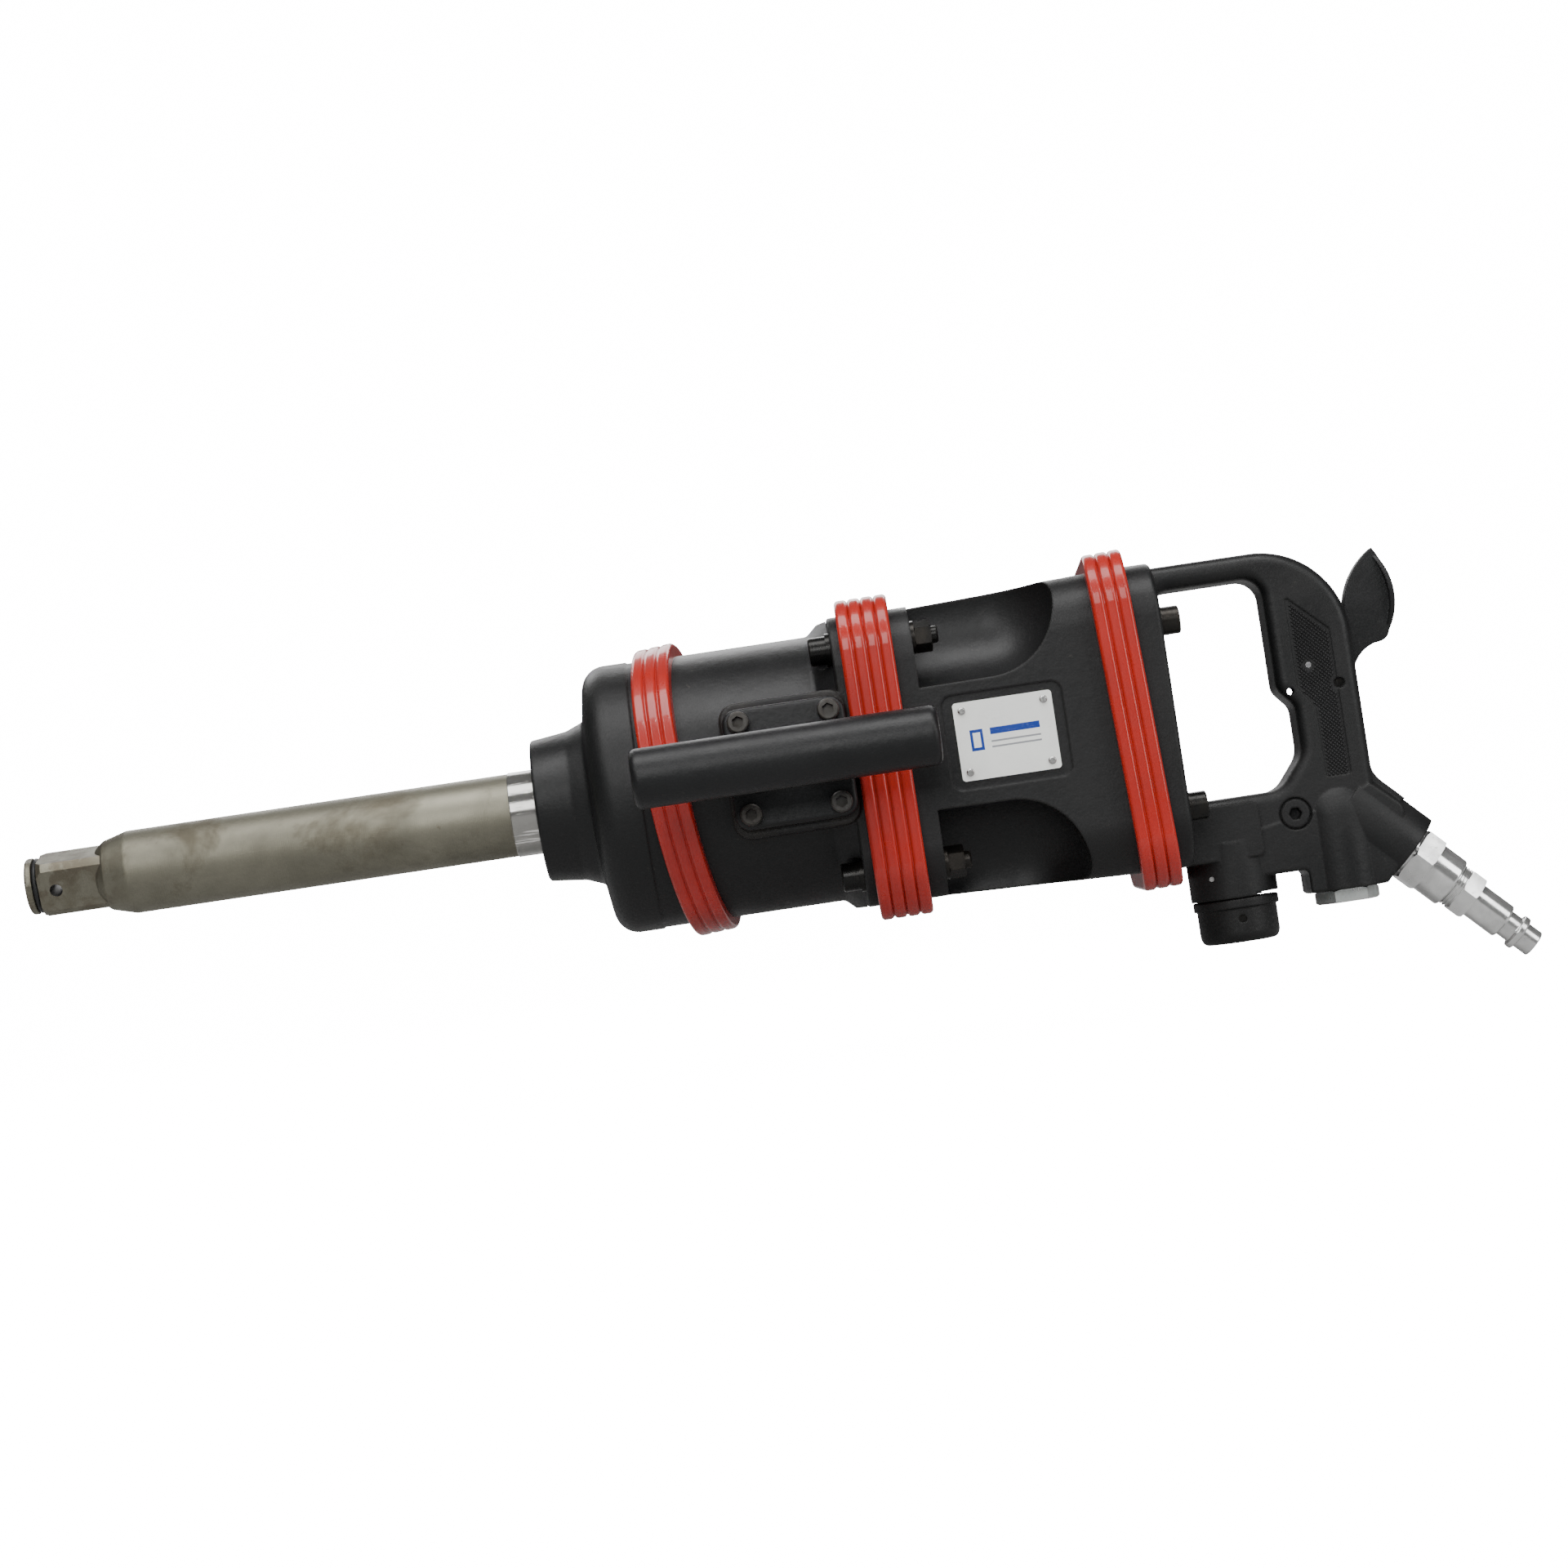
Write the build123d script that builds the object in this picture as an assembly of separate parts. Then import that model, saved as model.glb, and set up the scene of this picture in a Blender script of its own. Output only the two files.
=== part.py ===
"""One-inch, long-anvil pneumatic impact wrench with a D-handle and a bolted side handle.

Millimetres. +X runs from the drive square to the D-handle, +Z is up, and -Y is the side that
carries the side handle and the nameplate. The origin is on the spindle axis, at the centre of
the socket-retaining-pin hole in the drive square.
"""

from build123d import *
import math
import os

os.makedirs("parts", exist_ok=True)

# Drive square and anvil shaft
DRIVE = 25.4            # one-inch square drive, across flats
DRIVE_ROLL = 17.0       # turn of the square about the spindle, degrees
DRIVE_CORNER_R = 15.9   # corners are turned down to this radius
PIN_HOLE_R = 3.0
TIP_X = -14.4
GROOVE_X = (-11.1, -8.2)
GROOVE_R = 10.6
TIP_R = 13.3
SQUARE_END_X = 23.2
SHAFT_R = 19.6
SHAFT_START_X = 34.3
JOURNAL_R = 20.0
JOURNAL_X = 215.7
RUNNING = 0.05          # radial clearance of every running fit

# Hammer case
NOSE_X = 228.6
NOSE_R = 33.3
SEAL_R = 28.0
SEAL_END_X = 236.0
BUSH_R = 26.0
CAVITY_X = 280.0
CAVITY_R = 55.5
DRUM_R = 62.7
SHOULDER_R = 63.3
FLANGE_X = 374.0
CASE_HALF = 67.0
CORNER_R = 24.0
SEAM_X = 392.0
GASKET = 0.8

# Motor housing
MOTOR_FLANGE_X = 411.0
REAR_SEAM_X = 507.0
REAR_HALF = 70.2
BORE_R = 46.0
FRONT_WALL_X = 400.0
POCKET_R = 32.7
POCKET_AT = 60.0
POCKET_END_X = 477.0

# Motor inside the housing
CYLINDER_X = (412.0, 482.0)
CYLINDER_BORE_R = 39.5
CYLINDER_OFFSET = -3.5
ROTOR_R = 35.0
ROTOR_SHAFT_R = 10.0
BEARING_R = 17.0
PLATE_DEPTH = 12.0
VANES = 6
VANE_THICK = 4.0
VANE_ROOT_R = 20.0
HEX_DRIVE = 17.0

# Twin-hammer clutch
CAGE_R = 54.0
CAGE_FRONT_X = (286.0, 291.0)
CAGE_REAR_X = (358.0, 370.0)
HAMMER_R = 44.0
HAMMER_BORE_R = 31.5
HAMMER_SPANS = ((292.0, 324.0), (325.5, 357.0))
HAMMER_PIN_R = 5.0
HAMMER_PIN_AT = 46.0
ANVIL_CORE_R = 18.0
ANVIL_TAIL_R = 12.0
LUG_HALF = 8.0
LUG_R = 30.0

# Fasteners: (shank radius, head radius, head height, key across flats)
M8 = (4.0, 6.5, 8.0, 6.0)
M6 = (3.0, 5.0, 6.0, 5.0)
FLANGE_BOLT_AT = 52.0
REAR_SCREW_AT = 43.0
NUT_AF = 13.0

# Side handle, turned a little about the spindle with its pad
PAD_ROLL = -2.25
PAD_FACE = 68.4
PAD_X = 348.0
PLATE_W = 56.0
PLATE_H = 55.0
PLATE_T = 7.0
SIDE_SCREW_W = 41.0
SIDE_SCREW_H = 42.0
GRIP_X = (278.0, 415.0)
GRIP_Y = 112.0
GRIP_R = 13.5
ARM_R = 8.5

# Rubber bands: centre x, lean in z, lean in y, ribs, inner and outer half-size
RIB = 6.0
RIB_EDGE_R = 1.9
GROOVE_DEPTH = 1.1
BANDS = {
    "front_band": (298.6, -0.073, 0.115, 3, 68.8),
    "middle_band": (392.7, -0.004, 0.037, 4, 73.8),
    "rear_band": (507.7, -0.040, 0.049, 3, 77.9),
}

# Nameplate on the tapered side of the motor housing
NAMEPLATE_X = 446.9
NAMEPLATE_Z = 0.8
NAMEPLATE = (45.2, 35.8, 0.9)
RECESS = (55.0, 43.6, 1.0)

# D-handle casting
HANDLE_FACE_X = 524.0
HANDLE_TOP = 70.2
GRIP_BACK_X = 616.7
HANDLE_HALF = 15.5
LOOP_EDGE_R = 5.2
CHAMBER_X = 598.4
CHAMBER_R = 9.5
CHAMBER_TOP = -58.0
BLOCK_BOTTOM = -91.5
KNOB_X = 546.0
COLLAR_R = 20.5
COLLAR_BOTTOM = -88.1
SPOOL_R = 12.9
BOSS = (629.5, -78.5)   # centre of the inlet boss face, on a 45-degree axis
BOSS_R = 18.3
BOSS_LENGTH = 38.0
THROUGH_HOLE = (584.3, 3.5)
OIL_PLUG = (578.0, -53.3)

# Throttle lever
PIVOT = (607.4, 4.2)
PIVOT_R = 2.0
WEB_HALF = 4.5
ROD_R = 3.0
ROD_TOP = -1.4
NOSE_PAD_R = 2.5


def x_cyl(x0, x1, r, y=0.0, z=0.0):
    """Cylinder along X."""
    return Pos((x0 + x1) / 2, y, z) * Rot(0, 90, 0) * Cylinder(r, x1 - x0)


def z_cyl(x, z0, z1, r):
    """Cylinder along Z in the middle plane."""
    return Pos(x, 0, (z0 + z1) / 2) * Cylinder(r, z1 - z0)


def y_cyl(x, z, r, y0, y1):
    """Cylinder along Y."""
    return Pos(x, (y0 + y1) / 2, z) * Rot(90, 0, 0) * Cylinder(r, y1 - y0)


def x_ring(x0, x1, r_in, r_out):
    """Plain ring on the spindle axis."""
    return x_cyl(x0, x1, r_out) - x_cyl(x0 - 1, x1 + 1, r_in)


def outline(points):
    """Face through (u, v, corner radius) points."""
    face = make_face(Polyline(*[(u, v) for u, v, r in points], close=True))
    for u, v, r in points:
        if r > 0:
            corner = face.vertices().sort_by_distance(Vector(u, v, 0))[0]
            face = fillet(corner, r)
    return face


def turned_x(points):
    """Solid turned about the spindle axis from (x, r, corner radius) points."""
    first, last = points[0][0], points[-1][0]
    closed = [(first, 0, 0)] + list(points) + [(last, 0, 0)]
    return revolve(Plane.XZ * outline(closed), Axis.X)


def turned_z(points):
    """Solid turned about Z from (r, z, corner radius) points."""
    low, high = points[0][1], points[-1][1]
    closed = [(0, low, 0)] + list(points) + [(0, high, 0)]
    return revolve(Plane.XZ * outline(closed), Axis.Z)


def slab(points, half):
    """Plate in the middle plane, from an (x, z, corner radius) outline."""
    return extrude(Plane.XZ * outline(points), amount=half, both=True)


def square_section(x, half, corner=CORNER_R):
    """Rounded-square section of the housings at x."""
    return Plane.YZ.offset(x) * RectangleRounded(2 * half, 2 * half, corner)


def square_prism(x0, x1, half, corner=CORNER_R):
    """Rounded-square prism along X."""
    return extrude(square_section(x0, half, corner), amount=x1 - x0)


def corners(at):
    """The four (y, z) corners of a square pattern."""
    return [(sy * at, sz * at) for sy in (-1, 1) for sz in (-1, 1)]


def cap_screw(size, length):
    """Socket cap screw along Z: underside of the head at z = 0, head upwards."""
    shank_r, head_r, head_h, key = size
    body = turned_z([
        (shank_r - 0.7, -length, 0),
        (shank_r, -length + 0.7, 0),
        (shank_r, 0, 0),
        (head_r, 0, 0),
        (head_r, head_h, 0.9),
    ])
    depth = head_h * 0.55
    socket = extrude(RegularPolygon(key / 2, 6, major_radius=False), amount=depth + 1)
    return body - Pos(0, 0, head_h - depth) * socket


def facing(x, y, z, direction):
    """Plane at a point whose normal is the given direction."""
    return Plane(origin=(x, y, z), z_dir=direction)


def pad_frame():
    """Turn of the side-handle pad about the spindle."""
    return Rot(PAD_ROLL, 0, 0)


def taper_at(x):
    """Half-width of the motor housing at x."""
    share = (x - MOTOR_FLANGE_X) / (REAR_SEAM_X - MOTOR_FLANGE_X)
    return CASE_HALF + share * (REAR_HALF - CASE_HALF)


def nameplate_plane():
    """Plane on the tapered side wall, normal outwards, its x along the housing."""
    slope = math.atan2(REAR_HALF - CASE_HALF, REAR_SEAM_X - MOTOR_FLANGE_X)
    return Plane(
        origin=(NAMEPLATE_X, -taper_at(NAMEPLATE_X), NAMEPLATE_Z),
        x_dir=(math.cos(slope), -math.sin(slope), 0),
        z_dir=(-math.sin(slope), -math.cos(slope), 0),
    )


def inlet_plane():
    """Plane on the inlet boss face, normal along the air fitting."""
    return Plane(origin=(BOSS[0], 0, BOSS[1]), x_dir=(0, 1, 0), z_dir=(1, 0, -1))


def hex_prism(across_corners, z0, z1, chamfer_by):
    """Hexagonal prism along Z with turned-down corners."""
    radius = across_corners / 2
    prism = Pos(0, 0, z0) * extrude(RegularPolygon(radius, 6), amount=z1 - z0)
    turned = turned_z([
        (radius - chamfer_by, z0, 0),
        (radius + 0.3, z0 + chamfer_by * 0.7, 0),
        (radius + 0.3, z1 - chamfer_by * 0.7, 0),
        (radius - chamfer_by, z1, 0),
    ])
    return prism & turned


# ---------------------------------------------------------------- anvil and clutch

def anvil():
    tip = turned_x([
        (TIP_X, TIP_R, 1.2),
        (GROOVE_X[0], TIP_R, 0.4),
        (GROOVE_X[0], GROOVE_R, 0),
        (GROOVE_X[1], GROOVE_R, 0),
        (GROOVE_X[1], TIP_R + 1.2, 0),
        (GROOVE_X[1] + 2.4, DRIVE_CORNER_R, 0),
        (SQUARE_END_X + 2, DRIVE_CORNER_R, 0),
    ])
    block = Pos(5, 0, 0) * Rot(DRIVE_ROLL, 0, 0) * Box(60, DRIVE, DRIVE)
    tip = tip & block
    shaft = turned_x([
        (SQUARE_END_X - 4.5, 12.9, 3.5),
        (SQUARE_END_X, 16.5, 1.5),
        (SHAFT_START_X, SHAFT_R, 5),
        (JOURNAL_X, SHAFT_R, 0),
        (JOURNAL_X + 0.4, JOURNAL_R, 0),
        (CAVITY_X + 1.2, JOURNAL_R, 0),
        (CAVITY_X + 1.2, 27, 0.6),
        (CAVITY_X + 5, 27, 0.6),
        (CAVITY_X + 5, ANVIL_CORE_R, 0),
        (357, ANVIL_CORE_R, 0.5),
        (357, ANVIL_TAIL_R, 0),
        (366, ANVIL_TAIL_R, 1),
    ])
    body = tip + shaft
    for (x0, x1), side in zip(HAMMER_SPANS, (1, -1)):
        lug = Box(x1 - x0 - 1, 2 * LUG_HALF, LUG_R)
        body += Pos((x0 + x1) / 2, 0, side * LUG_R / 2) * fillet(lug.edges().filter_by(Axis.X), 2)
    hole = Rot(DRIVE_ROLL, 0, 0) * y_cyl(0, 0, PIN_HOLE_R, -20, 20)
    return body - hole


def socket_retaining_ring():
    middle = (GROOVE_X[0] + GROOVE_X[1]) / 2
    centre_r = GROOVE_R + 1.25
    return Pos(middle, 0, 0) * Rot(0, 90, 0) * Torus(centre_r, 1.2)


def nose_oil_seal():
    ring = x_ring(NOSE_X + 1.0, SEAL_END_X, JOURNAL_R + RUNNING, SEAL_R)
    return ring - x_ring(NOSE_X, NOSE_X + 2.4, JOURNAL_R + 2, SEAL_R - 1.6)


def anvil_bushing():
    return x_ring(SEAL_END_X, CAVITY_X, JOURNAL_R + RUNNING, BUSH_R)


def hammer_cage():
    front = x_ring(CAGE_FRONT_X[0], CAGE_FRONT_X[1], 24, CAGE_R)
    rear = x_cyl(CAGE_REAR_X[0], CAGE_REAR_X[1], CAGE_R)
    hub = x_cyl(CAGE_REAR_X[1], 386, 18)
    web = x_ring(CAGE_FRONT_X[1], CAGE_REAR_X[0], HAMMER_R + 1.5, CAGE_R)
    web &= Pos(325, 0, 0) * Box(90, 2 * CAGE_R + 4, 52)
    body = front + web + rear + hub
    body -= x_cyl(350, 367, ANVIL_TAIL_R + RUNNING)
    hex_hole = RegularPolygon(HEX_DRIVE / 2 + 0.05, 6, major_radius=False)
    body -= extrude(Plane.YZ.offset(371) * hex_hole, amount=20)
    for side in (-1, 1):
        body -= x_cyl(280, 375, HAMMER_PIN_R, 0, side * HAMMER_PIN_AT)
    return body


def hammer(index):
    """Ring-shaped hammer with one inward dog beside the anvil's lug."""
    x0, x1 = HAMMER_SPANS[index]
    side = 1 if index == 0 else -1
    dog = Pos((x0 + x1) / 2, side * -15, side * 27) * Box(x1 - x0, 13, 15)
    dog &= x_cyl(x0, x1, HAMMER_R - 2)
    ring = x_ring(x0, x1, HAMMER_BORE_R, HAMMER_R)
    body = ring + (dog - x_cyl(x0, x1, ANVIL_CORE_R + 0.6))
    for pin_side in (-1, 1):
        body -= x_cyl(x0 - 1, x1 + 1, HAMMER_PIN_R + 0.1, 0, pin_side * HAMMER_PIN_AT)
    return body


def hammer_pins():
    ends = (CAGE_FRONT_X[0], CAGE_REAR_X[1])
    return [x_cyl(*ends, HAMMER_PIN_R, 0, side * HAMMER_PIN_AT) for side in (-1, 1)]


# ---------------------------------------------------------------- casings

def case_envelope():
    """Outside of the three casings, for fitting the bands."""
    seams = square_prism(SEAM_X - 1, SEAM_X + 1, CASE_HALF)
    seams += square_prism(REAR_SEAM_X - 2, REAR_SEAM_X + 1, REAR_HALF)
    seams += Pos(HANDLE_FACE_X, 0, 0) * Box(20, 2 * HANDLE_HALF, 2 * HANDLE_TOP + 0.4)
    return hammer_case_outside() + motor_outside() + handle_flange() + seams


def hammer_case_outside():
    body = turned_x([
        (NOSE_X, NOSE_R, 1.5),
        (246, 35.4, 6),
        (254.6, 38.8, 2.5),
        (258.2, SHOULDER_R, 11),
        (278.6, SHOULDER_R, 0.3),
        (279.3, DRUM_R, 0.3),
        (364.5, DRUM_R, 4),
        (FLANGE_X, 71.5, 0),
    ])
    body &= square_prism(NOSE_X - 5, FLANGE_X, CASE_HALF)
    flange = square_prism(FLANGE_X, SEAM_X - GASKET / 2, CASE_HALF)
    return body + fillet(flange.faces().sort_by(Axis.X)[0].edges(), 1.2)


def side_pad():
    size = RectangleRounded(PLATE_W + 2.4, PLATE_H + 7, 8)
    pad = extrude(Plane.XZ * (Pos(PAD_X, 0) * size), amount=PAD_FACE)
    return pad_frame() * fillet(pad.faces().sort_by(Axis.Y)[0].edges(), 1.5)


def side_screw_points():
    half_w, half_h = SIDE_SCREW_W / 2, SIDE_SCREW_H / 2
    return [(PAD_X + sx * half_w, sz * half_h) for sx in (-1, 1) for sz in (-1, 1)]


def hammer_case():
    body = hammer_case_outside() + side_pad()
    body -= x_cyl(NOSE_X - 1, SEAL_END_X, SEAL_R)
    body -= x_cyl(SEAL_END_X - 1, CAVITY_X + 1, BUSH_R)
    body -= x_cyl(CAVITY_X, SEAM_X + 1, CAVITY_R)
    for y, z in corners(FLANGE_BOLT_AT):
        body -= x_cyl(355, FLANGE_X, M8[1] + 1.8, y, z)
        body -= x_cyl(FLANGE_X - 1, SEAM_X + 1, M8[0], y, z)
    for x, z in side_screw_points():
        body -= pad_frame() * y_cyl(x, z, M6[0], -PAD_FACE - 1, -PAD_FACE + 11.2)
    return body


def motor_outside():
    flange = square_prism(SEAM_X + GASKET / 2, MOTOR_FLANGE_X, CASE_HALF)
    barrel = loft([
        square_section(MOTOR_FLANGE_X, CASE_HALF),
        square_section(REAR_SEAM_X - GASKET, taper_at(REAR_SEAM_X - GASKET)),
    ])
    return flange + barrel


def pocketed_barrel():
    """Outside of the motor housing with its four corner pockets."""
    body = motor_outside()
    straight_end = POCKET_END_X - POCKET_R
    for y, z in corners(POCKET_AT):
        pocket = x_cyl(MOTOR_FLANGE_X, straight_end, POCKET_R, y, z)
        body -= pocket + Pos(straight_end, y, z) * Sphere(POCKET_R)
    return body


def motor_housing():
    body = pocketed_barrel()
    body -= x_cyl(FRONT_WALL_X, REAR_SEAM_X, BORE_R)
    body -= x_cyl(SEAM_X, FRONT_WALL_X + 1, 23)
    for y, z in corners(FLANGE_BOLT_AT):
        body -= x_cyl(SEAM_X - 1, MOTOR_FLANGE_X + 1, M8[0], y, z)
    for y, z in corners(REAR_SCREW_AT):
        body -= x_cyl(484, REAR_SEAM_X, M8[0], y, z)
    width, height, depth = RECESS
    recess = extrude(RectangleRounded(width, height, 5), amount=2 * depth, both=True)
    body -= nameplate_plane() * (Pos(0, 0, depth) * recess)
    return body


def gasket(x, half, hole_r, hole_at):
    """Flat gasket between two casings, its front face at x."""
    body = square_prism(x, x + GASKET, half - 0.4) - x_cyl(x - 1, x + 2, hole_r)
    for y, z in corners(hole_at):
        body -= x_cyl(x - 1, x + 2, M8[0] + 0.2, y, z)
    return body


def band(name):
    """Ribbed rubber band, leaning a little, fitted to the casings."""
    centre, lean_z, lean_y, ribs, outer = BANDS[name]
    round_band = name == "front_band"
    blank = []
    for rib in range(ribs):
        x0 = (rib - ribs / 2) * RIB
        if round_band:
            bump = x_cyl(x0, x0 + RIB, outer)
        else:
            bump = square_prism(x0, x0 + RIB, outer, CORNER_R)
        outside = bump.faces().sort_by(Axis.X)
        blank.append(fillet(outside[0].edges() + outside[-1].edges(), RIB_EDGE_R))
    solid = blank[0]
    for bump in blank[1:]:
        solid += bump
    core = RIB * ribs
    if round_band:
        solid += x_cyl(-core / 2 + 1, core / 2 - 1, outer - GROOVE_DEPTH)
    else:
        solid += square_prism(-core / 2 + 1, core / 2 - 1, outer - GROOVE_DEPTH, CORNER_R)
    turn = Rot(0, math.degrees(lean_z), -math.degrees(lean_y))
    return Pos(centre, 0, 0) * turn * solid - case_envelope()


# ---------------------------------------------------------------- air motor

def motor_cylinder():
    x0, x1 = CYLINDER_X
    body = x_cyl(x0, x1, BORE_R) - x_cyl(x0 - 1, x1 + 1, CYLINDER_BORE_R, 0, CYLINDER_OFFSET)
    for port in range(3):
        body -= z_cyl(x0 + 20 + 15 * port, -60, -30, 3.5)
    return body


def end_plate(front):
    """End plate of the cylinder, with the bearing's seat on its outer side."""
    x0 = CYLINDER_X[0] - PLATE_DEPTH if front else CYLINDER_X[1]
    seat = (x0 - 1, x0 + PLATE_DEPTH - 1) if front else (x0 + 1, x0 + PLATE_DEPTH + 1)
    body = x_cyl(x0, x0 + PLATE_DEPTH, BORE_R)
    return body - x_cyl(seat[0], seat[1], BEARING_R) - x_cyl(x0 - 1, x0 + 20, 11.5)


def rotor_bearing(front):
    x0 = CYLINDER_X[0] - PLATE_DEPTH if front else CYLINDER_X[1] + 1
    body = x_ring(x0, x0 + PLATE_DEPTH - 1, ROTOR_SHAFT_R + RUNNING, BEARING_R)
    for face_x in (x0, x0 + PLATE_DEPTH - 1):
        body -= x_ring(face_x - 0.8, face_x + 0.8, 12.4, 14.8)
    return body


def rotor():
    x0, x1 = CYLINDER_X
    body = turned_x([
        (x0 - 14, ROTOR_SHAFT_R, 0),
        (x0 + 0.3, ROTOR_SHAFT_R, 0),
        (x0 + 0.3, ROTOR_R, 0.5),
        (x1 - 0.3, ROTOR_R, 0.5),
        (x1 - 0.3, ROTOR_SHAFT_R, 0),
        (x1 + 12, ROTOR_SHAFT_R, 1),
    ])
    for index in range(VANES):
        depth = ROTOR_R - VANE_ROOT_R + 2
        slot = Pos((x0 + x1) / 2, 0, VANE_ROOT_R + depth / 2) * Box(80, VANE_THICK, depth)
        body -= Rot(index * 360 / VANES, 0, 0) * (slot & x_cyl(x0, x1, ROTOR_R + 5))
    hex_end = RegularPolygon(HEX_DRIVE / 2, 6, major_radius=False)
    return body + extrude(Plane.YZ.offset(373) * hex_end, amount=x0 - 14 - 373)


def vanes():
    x0, x1 = CYLINDER_X
    depth = ROTOR_R - VANE_ROOT_R - 0.6
    blade = Box(x1 - x0 - 1, VANE_THICK - 0.1, depth)
    blade = Pos((x0 + x1) / 2, 0, VANE_ROOT_R + 0.1 + depth / 2) * blade
    return [Rot(index * 360 / VANES, 0, 0) * blade for index in range(VANES)]


# ---------------------------------------------------------------- fasteners

def flange_bolts():
    screw = cap_screw(M8, 51.5)
    return [facing(FLANGE_X - 2, y, z, (-1, 0, 0)) * screw for y, z in corners(FLANGE_BOLT_AT)]


def flange_washers():
    rings = []
    for x0, x1 in ((FLANGE_X - 2, FLANGE_X), (MOTOR_FLANGE_X, MOTOR_FLANGE_X + 1.8)):
        for y, z in corners(FLANGE_BOLT_AT):
            rings.append(x_cyl(x0, x1, 7.6, y, z) - x_cyl(x0 - 1, x1 + 1, M8[0] + 0.1, y, z))
    return rings


def flange_nuts():
    nut = hex_prism(NUT_AF / math.cos(math.pi / 6), 0, 7.6, 0.9)
    nut -= Pos(0, 0, 3.8) * Cylinder(M8[0], 9)
    at = MOTOR_FLANGE_X + 1.8
    return [facing(at, y, z, (1, 0, 0)) * nut for y, z in corners(FLANGE_BOLT_AT)]


def rear_screws():
    screw = cap_screw(M8, 41)
    at = HANDLE_FACE_X + 2.6
    return [facing(at, y, z, (1, 0, 0)) * screw for y, z in corners(REAR_SCREW_AT)]


def rear_spring_washers():
    rings = []
    for y, z in corners(REAR_SCREW_AT):
        x0, x1 = HANDLE_FACE_X, HANDLE_FACE_X + 2.6
        ring = x_cyl(x0, x1, 7.0, y, z) - x_cyl(x0 - 1, x1 + 1, M8[0] + 0.1, y, z)
        gap = Pos((x0 + x1) / 2, y + 5.5, z) * Rot(0, 0, 25) * Box(8, 5, 0.9)
        rings.append(ring - gap)
    return rings


def side_handle_screws():
    screw = cap_screw(M6, PLATE_T + 11)
    at = -(PAD_FACE + PLATE_T)
    return [pad_frame() * (facing(x, at, z, (0, -1, 0)) * screw) for x, z in side_screw_points()]


# ---------------------------------------------------------------- side handle

def side_handle_bracket():
    face = Plane.XZ * (Pos(PAD_X, 0) * RectangleRounded(PLATE_W, PLATE_H, 7))
    plate = Pos(0, -PAD_FACE, 0) * extrude(face, amount=PLATE_T)
    plate = fillet(plate.faces().sort_by(Axis.Y)[0].edges(), 2)
    body = plate
    root_y = PAD_FACE + PLATE_T - 4
    for side, end_x in ((-1, GRIP_X[0] + 17), (1, GRIP_X[1] - 17)):
        root = Vector(PAD_X + side * 14, -root_y, 0)
        elbow = Vector(end_x, -GRIP_Y, 0)
        run = elbow - root
        arm = Plane(origin=(root + elbow) * 0.5, z_dir=run) * Cylinder(ARM_R, run.length)
        body += arm + Pos(elbow.X, elbow.Y, elbow.Z) * Sphere(ARM_R)
    for x, z in side_screw_points():
        body -= y_cyl(x, z, M6[0] + 0.2, -PAD_FACE - PLATE_T - 2, -PAD_FACE + 1)
        body -= y_cyl(x, z, M6[1] + 1.2, -PAD_FACE - PLATE_T - 12, -PAD_FACE - PLATE_T)
    body -= Box(2 * SEAM_X, 2 * PAD_FACE, 2 * PLATE_H)
    return pad_frame() * (body - Pos(0, -GRIP_Y, 0) * x_cyl(GRIP_X[0] - 1, GRIP_X[1] + 1, GRIP_R))


def side_handle_grip():
    bar = turned_x([(GRIP_X[0], GRIP_R, 3.5), (GRIP_X[1], GRIP_R, 3.5)])
    return pad_frame() * (Pos(0, -GRIP_Y, 0) * bar)


# ---------------------------------------------------------------- nameplate

def nameplate():
    width, height, thick = NAMEPLATE
    plate = extrude(RectangleRounded(width, height, 1.6), amount=thick)
    for x, z in rivet_points():
        plate -= Pos(x, z, 0) * Cylinder(1.0, 4)
    return nameplate_plane() * (Pos(0, 0, -RECESS[2]) * plate)


def rivet_points():
    half_w, half_h = NAMEPLATE[0] / 2 - 3.9, NAMEPLATE[1] / 2 - 3.9
    return [(sx * half_w, sz * half_h) for sx in (-1, 1) for sz in (-1, 1)]


def nameplate_rivets():
    top = NAMEPLATE[2] - RECESS[2]
    rivet = turned_z([(1.0, -RECESS[2], 0), (1.0, top, 0), (1.85, top, 0), (1.85, top + 1.0, 0.8)])
    return [nameplate_plane() * (Pos(x, z, 0) * rivet) for x, z in rivet_points()]


# ---------------------------------------------------------------- D-handle

def handle_flange():
    body = square_prism(REAR_SEAM_X, HANDLE_FACE_X, REAR_HALF)
    return fillet(body.faces().sort_by(Axis.X)[-1].edges(), 2.5)


def rim_edges(body, half, x_from):
    """Edges of a slab's two faces, from x_from onwards."""
    rims = body.edges().filter_by(lambda e: abs(abs(e.center().Y) - half) < 0.01)
    return rims.filter_by(lambda e: e.center().X > x_from)


def handle_loop():
    """D-shaped loop with rounded edges, before its bores and slots."""
    loop = slab([
        (512, HANDLE_TOP, 0),
        (GRIP_BACK_X, HANDLE_TOP, 42),
        (GRIP_BACK_X, -70.4, 12),
        (512, -70.4, 0),
    ], HANDLE_HALF)
    window = slab([
        (526.0, 58.5, 8.5),
        (578.2, 58.5, 10),
        (578.2, 5.0, 8),
        (585.5, -3.5, 8),
        (585.5, -26, 13),
        (573, -41.5, 12),
        (526.0, -41.5, 6.5),
    ], HANDLE_HALF + 1)
    body = loop - window
    return fillet(rim_edges(body, HANDLE_HALF, 513), LOOP_EDGE_R)


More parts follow.
